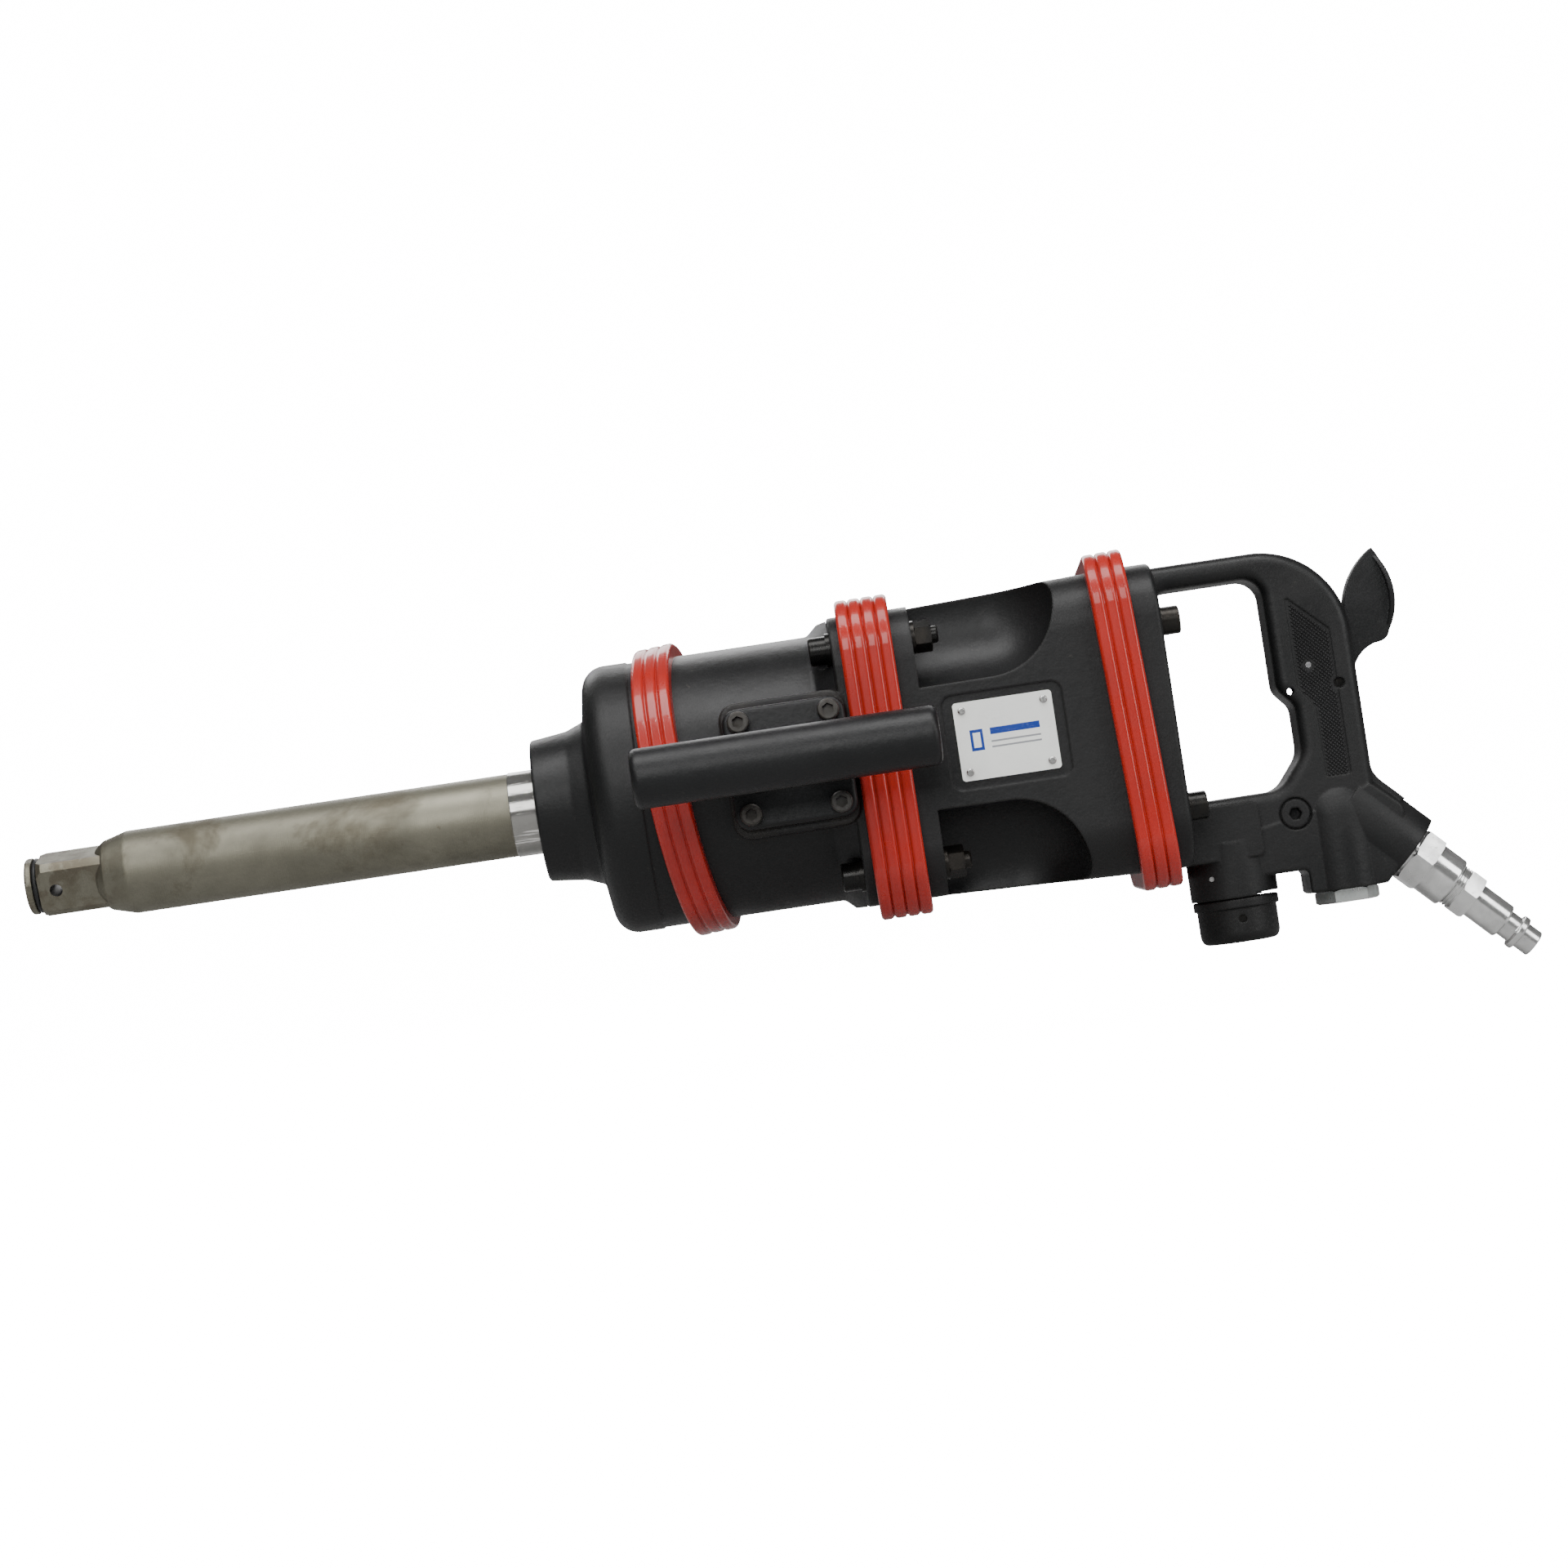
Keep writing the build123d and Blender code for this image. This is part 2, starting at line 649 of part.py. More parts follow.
def inlet_block():
    """Lower rear block that carries the valve chamber and the inlet boss."""
    block = slab([
        (556, -58, 0),
        (556, -80, 0),
        (580, -80, 2.5),
        (580, BLOCK_BOTTOM, 1.5),
        (616, BLOCK_BOTTOM, 2),
        (622, -85, 3),
        (629, -57, 6),
        (614, -43.5, 0),
        (600, -50, 0),
    ], HANDLE_HALF + 0.5)
    return fillet(rim_edges(block, HANDLE_HALF + 0.5, 567), 1.5)


def boss_shoulder():
    """Concave blend from the back of the grip into the top of the inlet boss."""
    meet_z = BOSS[1] + (BOSS[0] - GRIP_BACK_X) + BOSS_R * math.sqrt(2)
    web = slab([
        (608, -24, 0),
        (GRIP_BACK_X, -24, 0),
        (GRIP_BACK_X, meet_z, 14),
        (GRIP_BACK_X + 14, meet_z - 14, 0),
        (608, -60, 0),
    ], 9)
    return web


def handle_casting():
    body = handle_flange() + handle_loop() + inlet_block()
    body += slab([(536, -66, 0), (536, -71, 0), (547, -80, 0), (570, -80, 0), (570, -66, 0)], 14)
    body += x_ring(CYLINDER_X[1] + PLATE_DEPTH + 0.2, REAR_SEAM_X + 1, 38, BORE_R - 0.1)
    panel = Pos(540.5, 0, -57.5) * Box(40, 2 * 19.5, 25.5)
    body += fillet(panel.edges().filter_by(Axis.Y), 3)
    body += z_cyl(KNOB_X, COLLAR_BOTTOM, -62, COLLAR_R)
    body += z_cyl(CHAMBER_X, BLOCK_BOTTOM, -56, 19.5) & (Pos(CHAMBER_X, 0, -70) * Box(36.5, 60, 60))
    body += Pos(CHAMBER_X, 0, -56) * Sphere(19.5) & (Pos(CHAMBER_X, 0, -45) * Box(36.5, 60, 24))
    body += inlet_plane() * (Pos(0, 0, -BOSS_LENGTH / 2) * Cylinder(BOSS_R, BOSS_LENGTH))
    body += boss_shoulder()
    for side in (-1, 1):
        body -= knurl_recess(side)
    body -= handle_bores()
    return body


def knurl_recess(side):
    """Shallow recess for the knurled panel on one side of the grip."""
    face = Plane.XZ * outline([
        (587.7, 48, 1), (606.7, 30, 1), (606.7, -38.5, 1),
        (594.9, -38.5, 1), (594.9, -6, 1), (587.7, 5, 1),
    ])
    cut = extrude(face, amount=1.0, both=True)
    return Pos(0, side * (HANDLE_HALF + 0.4), 0) * cut


def handle_bores():
    """Everything drilled or cored into the handle casting."""
    cuts = z_cyl(CHAMBER_X, BLOCK_BOTTOM - 1, CHAMBER_TOP, CHAMBER_R)
    cuts += z_cyl(CHAMBER_X, BLOCK_BOTTOM - 1, BLOCK_BOTTOM + 1.2, CHAMBER_R + 2)
    cuts += z_cyl(CHAMBER_X, CHAMBER_TOP - 1, 0, ROD_R + RUNNING)
    cuts += z_cyl(KNOB_X, COLLAR_BOTTOM - 1, -48, SPOOL_R + RUNNING)
    cuts += x_cyl(KNOB_X, CHAMBER_X, 4.5, 0, -68)
    for side in (-1, 1):
        cuts += x_cyl(REAR_SEAM_X - 1, KNOB_X, 3.5, side * 6, -56)
    for y, z in corners(REAR_SCREW_AT):
        cuts += x_cyl(REAR_SEAM_X - 1, HANDLE_FACE_X + 1, M8[0], y, z)
    cuts += inlet_plane() * (Pos(0, 0, -8.5) * Cylinder(9.9, 19))
    cuts += inlet_plane() * (Pos(0, 0, -24) * Cylinder(9.0, 13))
    cuts += slab([
        (592, -9, 3), (622, -9, 0), (622, 53, 0), (608, 53, 2), (604, 40, 3), (603, 12, 3), (592, 11, 3),
    ], WEB_HALF + 0.5)
    cuts += y_cyl(PIVOT[0], PIVOT[1], PIVOT_R, -20, 20)
    for side in (-1, 1):
        cuts += y_cyl(PIVOT[0], PIVOT[1], 2.6, side * HANDLE_HALF - 2, side * HANDLE_HALF + 2)
    cuts += y_cyl(THROUGH_HOLE[0], THROUGH_HOLE[1], 1.7, -20, 0)
    cuts += y_cyl(THROUGH_HOLE[0] + 2.9, THROUGH_HOLE[1] + 0.5, 3.5, -7, 20)
    cuts += y_cyl(594.4, 14.5, 1.35, -20, 20)
    cuts += y_cyl(OIL_PLUG[0], OIL_PLUG[1], 7.7, -20, -13.5)
    cuts += y_cyl(OIL_PLUG[0], OIL_PLUG[1], 5.0, -20, -6)
    cuts += y_cyl(534.6, -77.9, 1.15, -20, -12)
    cuts += Pos(KNOB_X + 17, 0, COLLAR_BOTTOM + 0.5) * Box(18, 50, 1.4)
    return cuts


def oil_plug():
    x, z = OIL_PLUG
    body = y_cyl(x, z, 5.0, -13.6, -6) + y_cyl(x, z, 6.6, -15.2, -13.5)
    key = Plane.XZ * (Pos(x, z) * RegularPolygon(2.7, 6, major_radius=False))
    return body - Pos(0, -9.5, 0) * extrude(key, amount=8)


def handle_roll_pins():
    return [y_cyl(594.4, 14.5, 1.35, -14.9, 14.9), y_cyl(534.6, -77.9, 1.15, -16.8, -12.2)]


# ---------------------------------------------------------------- throttle

def lever_pin():
    return y_cyl(PIVOT[0], PIVOT[1], PIVOT_R, -13.2, 13.2)


def leaf_outline():
    """Side outline of the lever: a curved leaf, a neck and a hub."""
    low, tip, heel, foot = (616.2, 34.0), (633.4, 65.2), (635.9, 25.2), (617.6, 11.4)
    edges = [
        ThreePointArc(low, (620.6, 51.6), tip),
        ThreePointArc(tip, (639.7, 44.5), heel),
        ThreePointArc(heel, (633.8, 22.0), (630.2, 20.9)),
        ThreePointArc((630.2, 20.9), (622.0, 17.2), foot),
        Line(foot, (612.2, 0.6)),
        Line((612.2, 0.6), (604.0, -1.0)),
        Line((604.0, -1.0), (603.0, 8.5)),
        Line((603.0, 8.5), (610.5, 15.0)),
        Line((610.5, 15.0), low),
    ]
    return make_face(Curve() + edges)


def throttle_lever():
    web = extrude(Plane.XZ * leaf_outline(), amount=WEB_HALF, both=True)
    arm = slab([(609, 7.5, 0), (598, 5.6, 2), (596, 2, 1), (600, 0.2, 1), (609, 0.4, 0)], WEB_HALF)
    nose = y_cyl(CHAMBER_X, ROD_TOP + 0.3 + NOSE_PAD_R, NOSE_PAD_R, -WEB_HALF, WEB_HALF)
    outer = ThreePointArc((634.2, 62.6), (640.3, 44.5), (636.7, 26.4))
    inner = ThreePointArc((634.8, 27.0), (638.0, 44.3), (632.8, 61.6))
    rim = Curve() + [outer, Line(outer @ 1, inner @ 0), inner, Line(inner @ 1, outer @ 0)]
    palm = extrude(Plane.XZ * make_face(rim), amount=8.5, both=True)
    ends = Pos(637, 0, 44.4) * Rot(0, 90, 0) * extrude(Ellipse(19.5, 8.5), amount=20, both=True)
    body = web + arm + nose + (palm & ends)
    return body - y_cyl(PIVOT[0], PIVOT[1], PIVOT_R + RUNNING, -10, 10)


def throttle_stem():
    rod = z_cyl(CHAMBER_X, CHAMBER_TOP - 3.5, ROD_TOP, ROD_R)
    disc = z_cyl(CHAMBER_X, -64.5, -61.0, 7.6)
    return rod + disc


def valve_seat():
    return z_cyl(CHAMBER_X, -60.6, CHAMBER_TOP, CHAMBER_R) - z_cyl(CHAMBER_X, -65, -50, 4.6)


def throttle_spring():
    low, high, wire = -81.8, -64.6, 0.7
    coil = Helix(pitch=3.4, height=high - low - 2 * wire, radius=5.6)
    start = Plane(origin=coil @ 0, z_dir=coil % 0)
    return Pos(CHAMBER_X, 0, low + wire) * sweep(start * Circle(wire), path=coil)


def valve_cap():
    hexagon = hex_prism(30.4, -6.2, 0, 1.4)
    body = Pos(CHAMBER_X, 0, BLOCK_BOTTOM) * hexagon
    body += z_cyl(CHAMBER_X, BLOCK_BOTTOM - 1, -80, CHAMBER_R)
    return body - z_cyl(CHAMBER_X, -82, -79, 7.2)


def cap_o_ring():
    x_low, x_high = BLOCK_BOTTOM + 0.05, BLOCK_BOTTOM + 1.15
    return z_cyl(CHAMBER_X, x_low, x_high, 11.4) - z_cyl(CHAMBER_X, -95, -85, CHAMBER_R)


# ---------------------------------------------------------------- reverse valve and knob

def reverse_spool():
    body = z_cyl(KNOB_X, COLLAR_BOTTOM + 0.2, -49, SPOOL_R) + z_cyl(KNOB_X, -101, -86, 6)
    body -= z_cyl(KNOB_X, -80, -48, 8.5)
    body -= x_cyl(KNOB_X, KNOB_X + 20, 4.5, 0, -68)
    body -= x_cyl(KNOB_X - 20, KNOB_X, 3.5, -6, -56)
    return body


def reverse_knob():
    body = turned_z([
        (0.1, -109.0, 0), (16.9, -109.0, 3.2), (18.7, -106, 6), (18.7, -93.2, 0),
        (20.0, -92.7, 0), (20.0, -88.5, 0.8),
    ])
    body -= Pos(20.6, 0, -90.6) * Cylinder(1.2, 6)
    body = Pos(KNOB_X, 0, 0) * body
    body -= z_cyl(KNOB_X, -101, -88, 6) + z_cyl(KNOB_X, -112, -100, 2.5)
    body -= z_cyl(KNOB_X, -112, -106, 5)
    return body - y_cyl(KNOB_X, -98, 1.8, -21, -6)


def knob_screw():
    return Pos(KNOB_X, 0, -106) * Rot(180, 0, 0) * cap_screw((2.5, 4.4, 2.8, 3.0), 5)


def knob_set_screw():
    return y_cyl(KNOB_X, -98, 1.8, -17.6, -6)


# ---------------------------------------------------------------- air inlet

def inlet_adapter():
    body = Pos(0, 0, -8) * Cylinder(9.9, 16) + Pos(0, 0, 1) * Cylinder(10.4, 2)
    body += hex_prism(30.2, 2, 12.1, 1.3)
    body += turned_z([(12.5, 12.0, 0), (12.5, 25.6, 1.2)])
    body -= Pos(0, 0, 0) * Cylinder(6.0, 60)
    return inlet_plane() * (body - Pos(0, 0, 20.5) * Cylinder(8.5, 10.4))


def air_plug():
    body = turned_z([
        (8.5, 15.4, 0), (8.5, 25.6, 0), (10.0, 25.6, 0), (10.0, 30.2, 0),
    ])
    body += hex_prism(23.9, 30, 38, 1.1)
    body += turned_z([
        (8.55, 37.9, 0), (8.55, 56, 1.2), (6.5, 56, 0.6), (6.5, 62.2, 0.6),
        (8.5, 62.6, 0.8), (8.5, 65.6, 1.0), (6.5, 66, 0), (6.5, 73.8, 0.8),
    ])
    return inlet_plane() * (body - Pos(0, 0, 45) * Cylinder(4.2, 70))


def inlet_screen():
    cup = Pos(0, 0, -20.5) * Cylinder(8.9, 7) - Pos(0, 0, -19.5) * Cylinder(8.1, 7)
    holes = [Pos(x, y, -23.5) for x, y in ((4.5, 0), (-4.5, 0), (0, 4.5), (0, -4.5))]
    for place in holes:
        cup -= place * Cylinder(1.6, 4)
    return inlet_plane() * cup


NODES = {
    "anvil": anvil,
    "socket_retaining_ring": socket_retaining_ring,
    "nose_oil_seal": nose_oil_seal,
    "anvil_bushing": anvil_bushing,
    "hammer_cage": hammer_cage,
    "front_hammer": lambda: hammer(0),
    "rear_hammer": lambda: hammer(1),
    "hammer_pins": hammer_pins,
    "hammer_case": hammer_case,
    "case_gasket": lambda: gasket(SEAM_X - GASKET / 2, CASE_HALF, CAVITY_R, FLANGE_BOLT_AT),
    "motor_housing": motor_housing,
    "rear_gasket": lambda: gasket(REAR_SEAM_X - GASKET, REAR_HALF, BORE_R, REAR_SCREW_AT),
    "front_band": lambda: band("front_band"),
    "middle_band": lambda: band("middle_band"),
    "rear_band": lambda: band("rear_band"),
    "motor_cylinder": motor_cylinder,
    "front_end_plate": lambda: end_plate(True),
    "rear_end_plate": lambda: end_plate(False),
    "front_rotor_bearing": lambda: rotor_bearing(True),
    "rear_rotor_bearing": lambda: rotor_bearing(False),
    "rotor": rotor,
    "vanes": vanes,
    "flange_bolts": flange_bolts,
    "flange_washers": flange_washers,
    "flange_nuts": flange_nuts,
    "rear_screws": rear_screws,
    "rear_spring_washers": rear_spring_washers,
    "side_handle_bracket": side_handle_bracket,
    "side_handle_grip": side_handle_grip,
    "side_handle_screws": side_handle_screws,
    "nameplate": nameplate,
    "nameplate_rivets": nameplate_rivets,
    "handle_casting": handle_casting,
    "oil_plug": oil_plug,
    "handle_roll_pins": handle_roll_pins,
    "lever_pin": lever_pin,
    "throttle_lever": throttle_lever,
    "throttle_stem": throttle_stem,
    "valve_seat": valve_seat,
    "throttle_spring": throttle_spring,
    "valve_cap": valve_cap,
    "cap_o_ring": cap_o_ring,
    "reverse_spool": reverse_spool,
    "reverse_knob": reverse_knob,
    "knob_screw": knob_screw,
    "knob_set_screw": knob_set_screw,
    "inlet_adapter": inlet_adapter,
    "air_plug": air_plug,
    "inlet_screen": inlet_screen,
}

for node, build in NODES.items():
    shape = build()
    if isinstance(shape, list):
        shape = Compound(children=shape)
    export_step(shape, f"parts/{node}.step")
    print(node, round(shape.volume / 1000, 2), "cm3", flush=True)
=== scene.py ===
"""Looks of a one-inch, long-anvil impact wrench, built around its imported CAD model.

Metres, in the model's own frame: +X from the drive square to the D-handle, +Z up, -Y towards
the side handle. The file is laid out as a Blender add-on and is run as a script.
"""

import math

import bmesh
import bpy
from bpy.props import FloatProperty, FloatVectorProperty, IntProperty, PointerProperty
from mathutils import Matrix, Vector


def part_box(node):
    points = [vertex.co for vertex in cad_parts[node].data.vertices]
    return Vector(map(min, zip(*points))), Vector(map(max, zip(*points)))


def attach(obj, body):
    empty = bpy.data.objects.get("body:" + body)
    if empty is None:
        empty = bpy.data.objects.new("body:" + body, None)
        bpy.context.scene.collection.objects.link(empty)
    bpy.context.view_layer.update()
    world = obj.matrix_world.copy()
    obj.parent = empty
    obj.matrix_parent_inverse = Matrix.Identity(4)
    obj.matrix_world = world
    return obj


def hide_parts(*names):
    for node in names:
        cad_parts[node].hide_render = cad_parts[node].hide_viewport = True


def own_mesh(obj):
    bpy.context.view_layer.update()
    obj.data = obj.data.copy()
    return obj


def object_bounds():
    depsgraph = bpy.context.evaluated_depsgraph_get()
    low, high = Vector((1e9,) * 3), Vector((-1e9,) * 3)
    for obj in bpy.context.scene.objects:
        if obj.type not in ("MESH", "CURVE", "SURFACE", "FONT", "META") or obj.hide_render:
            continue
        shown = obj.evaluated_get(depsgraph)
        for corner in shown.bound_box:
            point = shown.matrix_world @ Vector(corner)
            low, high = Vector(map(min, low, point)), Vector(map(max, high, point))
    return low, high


bl_info = {
    "name": "Impact wrench looks",
    "version": (1, 0, 0),
    "blender": (4, 5, 0),
    "location": "3D View > Sidebar > Impact wrench",
    "description": "Materials, fine pieces and studio for a pneumatic impact wrench",
    "category": "Object",
}

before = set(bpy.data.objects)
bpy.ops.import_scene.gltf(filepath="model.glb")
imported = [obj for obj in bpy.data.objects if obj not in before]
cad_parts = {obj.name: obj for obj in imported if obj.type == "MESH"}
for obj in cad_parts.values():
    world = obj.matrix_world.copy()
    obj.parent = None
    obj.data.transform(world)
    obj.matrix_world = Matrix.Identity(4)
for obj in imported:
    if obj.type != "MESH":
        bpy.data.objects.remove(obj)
CAD_BOX = [list(corner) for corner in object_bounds()]

MM = 0.001

# Anvil
NOSE_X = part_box("hammer_case")[0].x
JOURNAL_START = NOSE_X - 12.9 * MM          # the polished journal begins here
SQUARE_END = 23.2 * MM
DRIVE_ROLL = math.radians(17)               # turn of the drive square about the spindle
PIN_BORE = (3.1 * MM, 12.3 * MM, 3.1 * MM)  # half sizes of a box round the pin hole, where the anvil gets painted shade

# Nameplate
PLATE_LOW, PLATE_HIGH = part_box("nameplate")

# Air inlet
INLET_AXIS = Vector((1, 0, -1)).normalized()
INLET_FACE = Vector((629.5, 0, -78.5)) * MM
THREAD_START = 25.9 * MM                    # along the axis from the inlet face
THREAD_CREST_R = 10.7 * MM
THREAD_ROOT_R = 9.8 * MM

# Knurled panel on each side of the rear grip
PANEL_FACE_Y = 14.88 * MM
PANEL_START = (588.9 * MM, -37.6 * MM)      # x and z of the first point
PANEL_SPAN = (19 * MM, 92 * MM)
PANEL_RIGHT = 606.7 * MM
PANEL_LEFT = (587.7 * MM, 594.9 * MM)       # above and below the step in the left edge
PANEL_STEP = (-6 * MM, 5 * MM)              # heights between which the left edge slants
PANEL_TOP = 30 * MM                         # at the right edge; it rises towards the left
PANEL_TOP_SLOPE = 18 / 19
PANEL_RIM = 1.3 * MM
PANEL_HOLES = (                             # x, z and clear radius
    (594.4 * MM, 14.5 * MM, 3.0 * MM),
    (607.4 * MM, 4.2 * MM, 4.2 * MM),
)

# Studio
FLOOR_Z = CAD_BOX[0][2] - 0.6 * MM
FLOOR_CENTRE_X = 0.34
LIGHT_TARGET = Vector((0.35, 0, 0))


# ------------------------------------------------------------------ settings

class IW_Finish(bpy.types.PropertyGroup):
    """Colours and surface sizes of the finishes"""
    paint: FloatVectorProperty(
        name="Case paint", description="Satin black of the castings", subtype="COLOR",
        size=3, min=0, max=1, default=(0.0046, 0.0047, 0.0050))
    paint_worn: FloatVectorProperty(
        name="Worn paint", description="Paler tone where hands have dulled the paint",
        subtype="COLOR", size=3, min=0, max=1, default=(0.0092, 0.0092, 0.0094))
    coat: FloatVectorProperty(
        name="Handle coat", description="Blue-black powder coat of handle, lever and knob",
        subtype="COLOR", size=3, min=0, max=1, default=(0.0046, 0.0048, 0.0052))
    rubber: FloatVectorProperty(
        name="Band rubber", description="Glossy orange-red of the bands", subtype="COLOR",
        size=3, min=0, max=1, default=(0.43, 0.018, 0.011))
    steel: FloatVectorProperty(
        name="Anvil steel", description="Ground steel of the anvil", subtype="COLOR",
        size=3, min=0, max=1, default=(0.222, 0.212, 0.166))
    stain: FloatVectorProperty(
        name="Stain", description="Oil and heat stain on bare steel", subtype="COLOR",
        size=3, min=0, max=1, default=(0.092, 0.076, 0.048))
    plate_ink: FloatVectorProperty(
        name="Plate ink", description="Blue of the nameplate's plain bar", subtype="COLOR",
        size=3, min=0, max=1, default=(0.012, 0.045, 0.30))
    cast_grain: FloatProperty(
        name="Cast grain", description="Size of the cast skin's grains", default=1.1 * MM,
        min=0.0002, unit="LENGTH")


class IW_Knurl(bpy.types.PropertyGroup):
    """Knurled panels of the rear grip"""
    pitch: FloatProperty(
        name="Pitch", description="Distance between points", default=1.9 * MM, min=0.001,
        unit="LENGTH")
    height: FloatProperty(
        name="Height", description="Height of each point", default=0.42 * MM, min=0.0001,
        unit="LENGTH")


class IW_Thread(bpy.types.PropertyGroup):
    """Thread showing between the inlet adapter and the air plug"""
    pitch: FloatProperty(
        name="Pitch", description="Distance between thread crests", default=1.5 * MM,
        min=0.0005, unit="LENGTH")
    turns: IntProperty(name="Turns", description="Crests that show", default=3, min=1)


class IW_Studio(bpy.types.PropertyGroup):
    """Place and framing of the camera"""
    distance: FloatProperty(
        name="Distance", description="From the spindle's plane to the camera", default=1.7,
        min=0.2, unit="LENGTH")
    field: FloatProperty(
        name="Field", description="Width seen at the spindle's plane", default=0.7385,
        min=0.1, unit="LENGTH")
    elevation: FloatProperty(
        name="Elevation", description="Angle of view above level", default=math.radians(-1.5),
        unit="ROTATION")
    roll: FloatProperty(
        name="Roll", description="Tilt of the tool in the view", default=math.radians(8.46),
        unit="ROTATION")
    aim: FloatVectorProperty(
        name="Aim", description="Point at the centre of the view", size=3, unit="LENGTH",
        default=(0.344, 0.0, -0.0042))


# ------------------------------------------------------------------ node helpers

def add(tree, kind, inputs=None, **settings):
    """New shader node; its inputs are values or other nodes' outputs."""
    node = tree.nodes.new(kind)
    for key, value in settings.items():
        setattr(node, key, value)
    for key, value in (inputs or {}).items():
        if isinstance(value, bpy.types.NodeSocket):
            tree.links.new(value, node.inputs[key])
        else:
            node.inputs[key].default_value = value
    return node


def colour(value):
    """Colour with full alpha."""
    return (value[0], value[1], value[2], 1.0)


def mixed(tree, mask, first, second):
    """Colour between two colours or colour outputs, by a mask."""
    values = [v if isinstance(v, bpy.types.NodeSocket) else colour(v) for v in (first, second)]
    node = add(tree, "ShaderNodeMix", {0: mask, 6: values[0], 7: values[1]}, data_type="RGBA")
    return node.outputs[2]


def ranged(tree, value, low, high, to_low=0.0, to_high=1.0):
    """Value mapped from one range to another, clamped."""
    node = add(tree, "ShaderNodeMapRange", {
        "Value": value, "From Min": low, "From Max": high, "To Min": to_low, "To Max": to_high})
    return node.outputs["Result"]


def maths(tree, operation, first, second=0.0):
    """Result of one maths step."""
    return add(tree, "ShaderNodeMath", {0: first, 1: second}, operation=operation).outputs[0]


def noise(tree, vector, scale, detail=3.0, roughness=0.5, distortion=0.0):
    """Noise value from 0 to 1."""
    return add(tree, "ShaderNodeTexNoise", {
        "Vector": vector, "Scale": scale, "Detail": detail, "Roughness": roughness,
        "Distortion": distortion}).outputs["Fac"]


def bumped(tree, height, distance, strength=1.0, normal=None):
    """Normal from a height value; distance in metres."""
    sockets = {"Height": height, "Distance": distance, "Strength": strength}
    if normal is not None:
        sockets["Normal"] = normal
    return add(tree, "ShaderNodeBump", sockets).outputs["Normal"]


def effect(name, inputs, outputs, build):
    """Shader node group with named sockets, built once and shared."""
    tree = bpy.data.node_groups.get(name)
    if tree is None:
        tree = bpy.data.node_groups.new(name, "ShaderNodeTree")
        for label, kind in inputs:
            tree.interface.new_socket(name=label, in_out="INPUT", socket_type="NodeSocket" + kind)
        for label, kind in outputs:
            tree.interface.new_socket(name=label, in_out="OUTPUT", socket_type="NodeSocket" + kind)
        source = tree.nodes.new("NodeGroupInput").outputs
        sink = tree.nodes.new("NodeGroupOutput").inputs
        for label, value in build(tree, source).items():
            tree.links.new(value, sink[label])
    return tree


def use(tree, group, inputs):
    """Places a shared effect in a material and gives back its outputs."""
    return add(tree, "ShaderNodeGroup", inputs, node_tree=group).outputs


def cast_skin():
    """Fine grain of a sand casting under paint, with broad blotches."""
    def build(tree, source):
        fine = noise(tree, source["Vector"], source["Grain"], 4.0, 0.6)
        coarse_scale = maths(tree, "MULTIPLY", source["Grain"], 0.28)
        coarse = noise(tree, source["Vector"], coarse_scale, 2.0, 0.5)
        blotch = noise(tree, source["Vector"], source["Blotch"], 3.0, 0.55, 0.6)
        height = maths(tree, "ADD", maths(tree, "MULTIPLY", fine, 0.55),
                       maths(tree, "MULTIPLY", coarse, 0.8))
        return {"Height": height, "Mask": ranged(tree, blotch, 0.38, 0.68)}
    return effect("cast_skin", [("Vector", "Vector"), ("Grain", "Float"), ("Blotch", "Float")],
                  [("Height", "Float"), ("Mask", "Float")], build)


def stains():
    """Ragged patches."""
    def build(tree, source):
        broad = noise(tree, source["Vector"], source["Scale"], 5.0, 0.62, 0.4)
        edge = maths(tree, "ADD", source["Level"], 0.11)
        return {"Mask": ranged(tree, broad, source["Level"], edge)}
    return effect("stains", [("Vector", "Vector"), ("Scale", "Float"), ("Level", "Float")],
                  [("Mask", "Float")], build)


def turning_marks():
    """Fine rings left by turning or grinding round the spindle axis."""
    def build(tree, source):
        parts = add(tree, "ShaderNodeSeparateXYZ", {0: source["Vector"]})
        along = maths(tree, "MULTIPLY", parts.outputs[0], source["Scale"])
        stripes = add(tree, "ShaderNodeTexNoise", {"W": along, "Scale": 1.0, "Detail": 4.0},
                      noise_dimensions="1D")
        return {"Height": stripes.outputs["Fac"]}
    return effect("turning_marks", [("Vector", "Vector"), ("Scale", "Float")],
                  [("Height", "Float")], build)


def scratches():
    """Thin scratches along one stretched direction."""
    def build(tree, source):
        stretched = add(tree, "ShaderNodeVectorMath", {0: source["Vector"], 1: source["Stretch"]},
                        operation="MULTIPLY").outputs[0]
        lines = noise(tree, stretched, 1.0, 3.0, 0.7)
        return {"Mask": ranged(tree, lines, 0.60, 0.68)}
    return effect("scratches", [("Vector", "Vector"), ("Stretch", "Vector")],
                  [("Mask", "Float")], build)


def box_mask():
    """One inside a box, zero outside, with a thin soft edge."""
    def build(tree, source):
        offset = add(tree, "ShaderNodeVectorMath", {0: source["Vector"], 1: source["Centre"]},
                     operation="SUBTRACT").outputs[0]
        size = add(tree, "ShaderNodeVectorMath", {0: offset}, operation="ABSOLUTE").outputs[0]
        beyond = add(tree, "ShaderNodeVectorMath", {0: size, 1: source["Half"]},
                     operation="SUBTRACT").outputs[0]
        parts = add(tree, "ShaderNodeSeparateXYZ", {0: beyond})
        worst = maths(tree, "MAXIMUM", parts.outputs[0], parts.outputs[1])
        worst = maths(tree, "MAXIMUM", worst, parts.outputs[2])
        return {"Mask": ranged(tree, worst, -0.05 * MM, 0.05 * MM, 1.0, 0.0)}
    return effect("box_mask", [("Vector", "Vector"), ("Centre", "Vector"), ("Half", "Vector")],
                  [("Mask", "Float")], build)


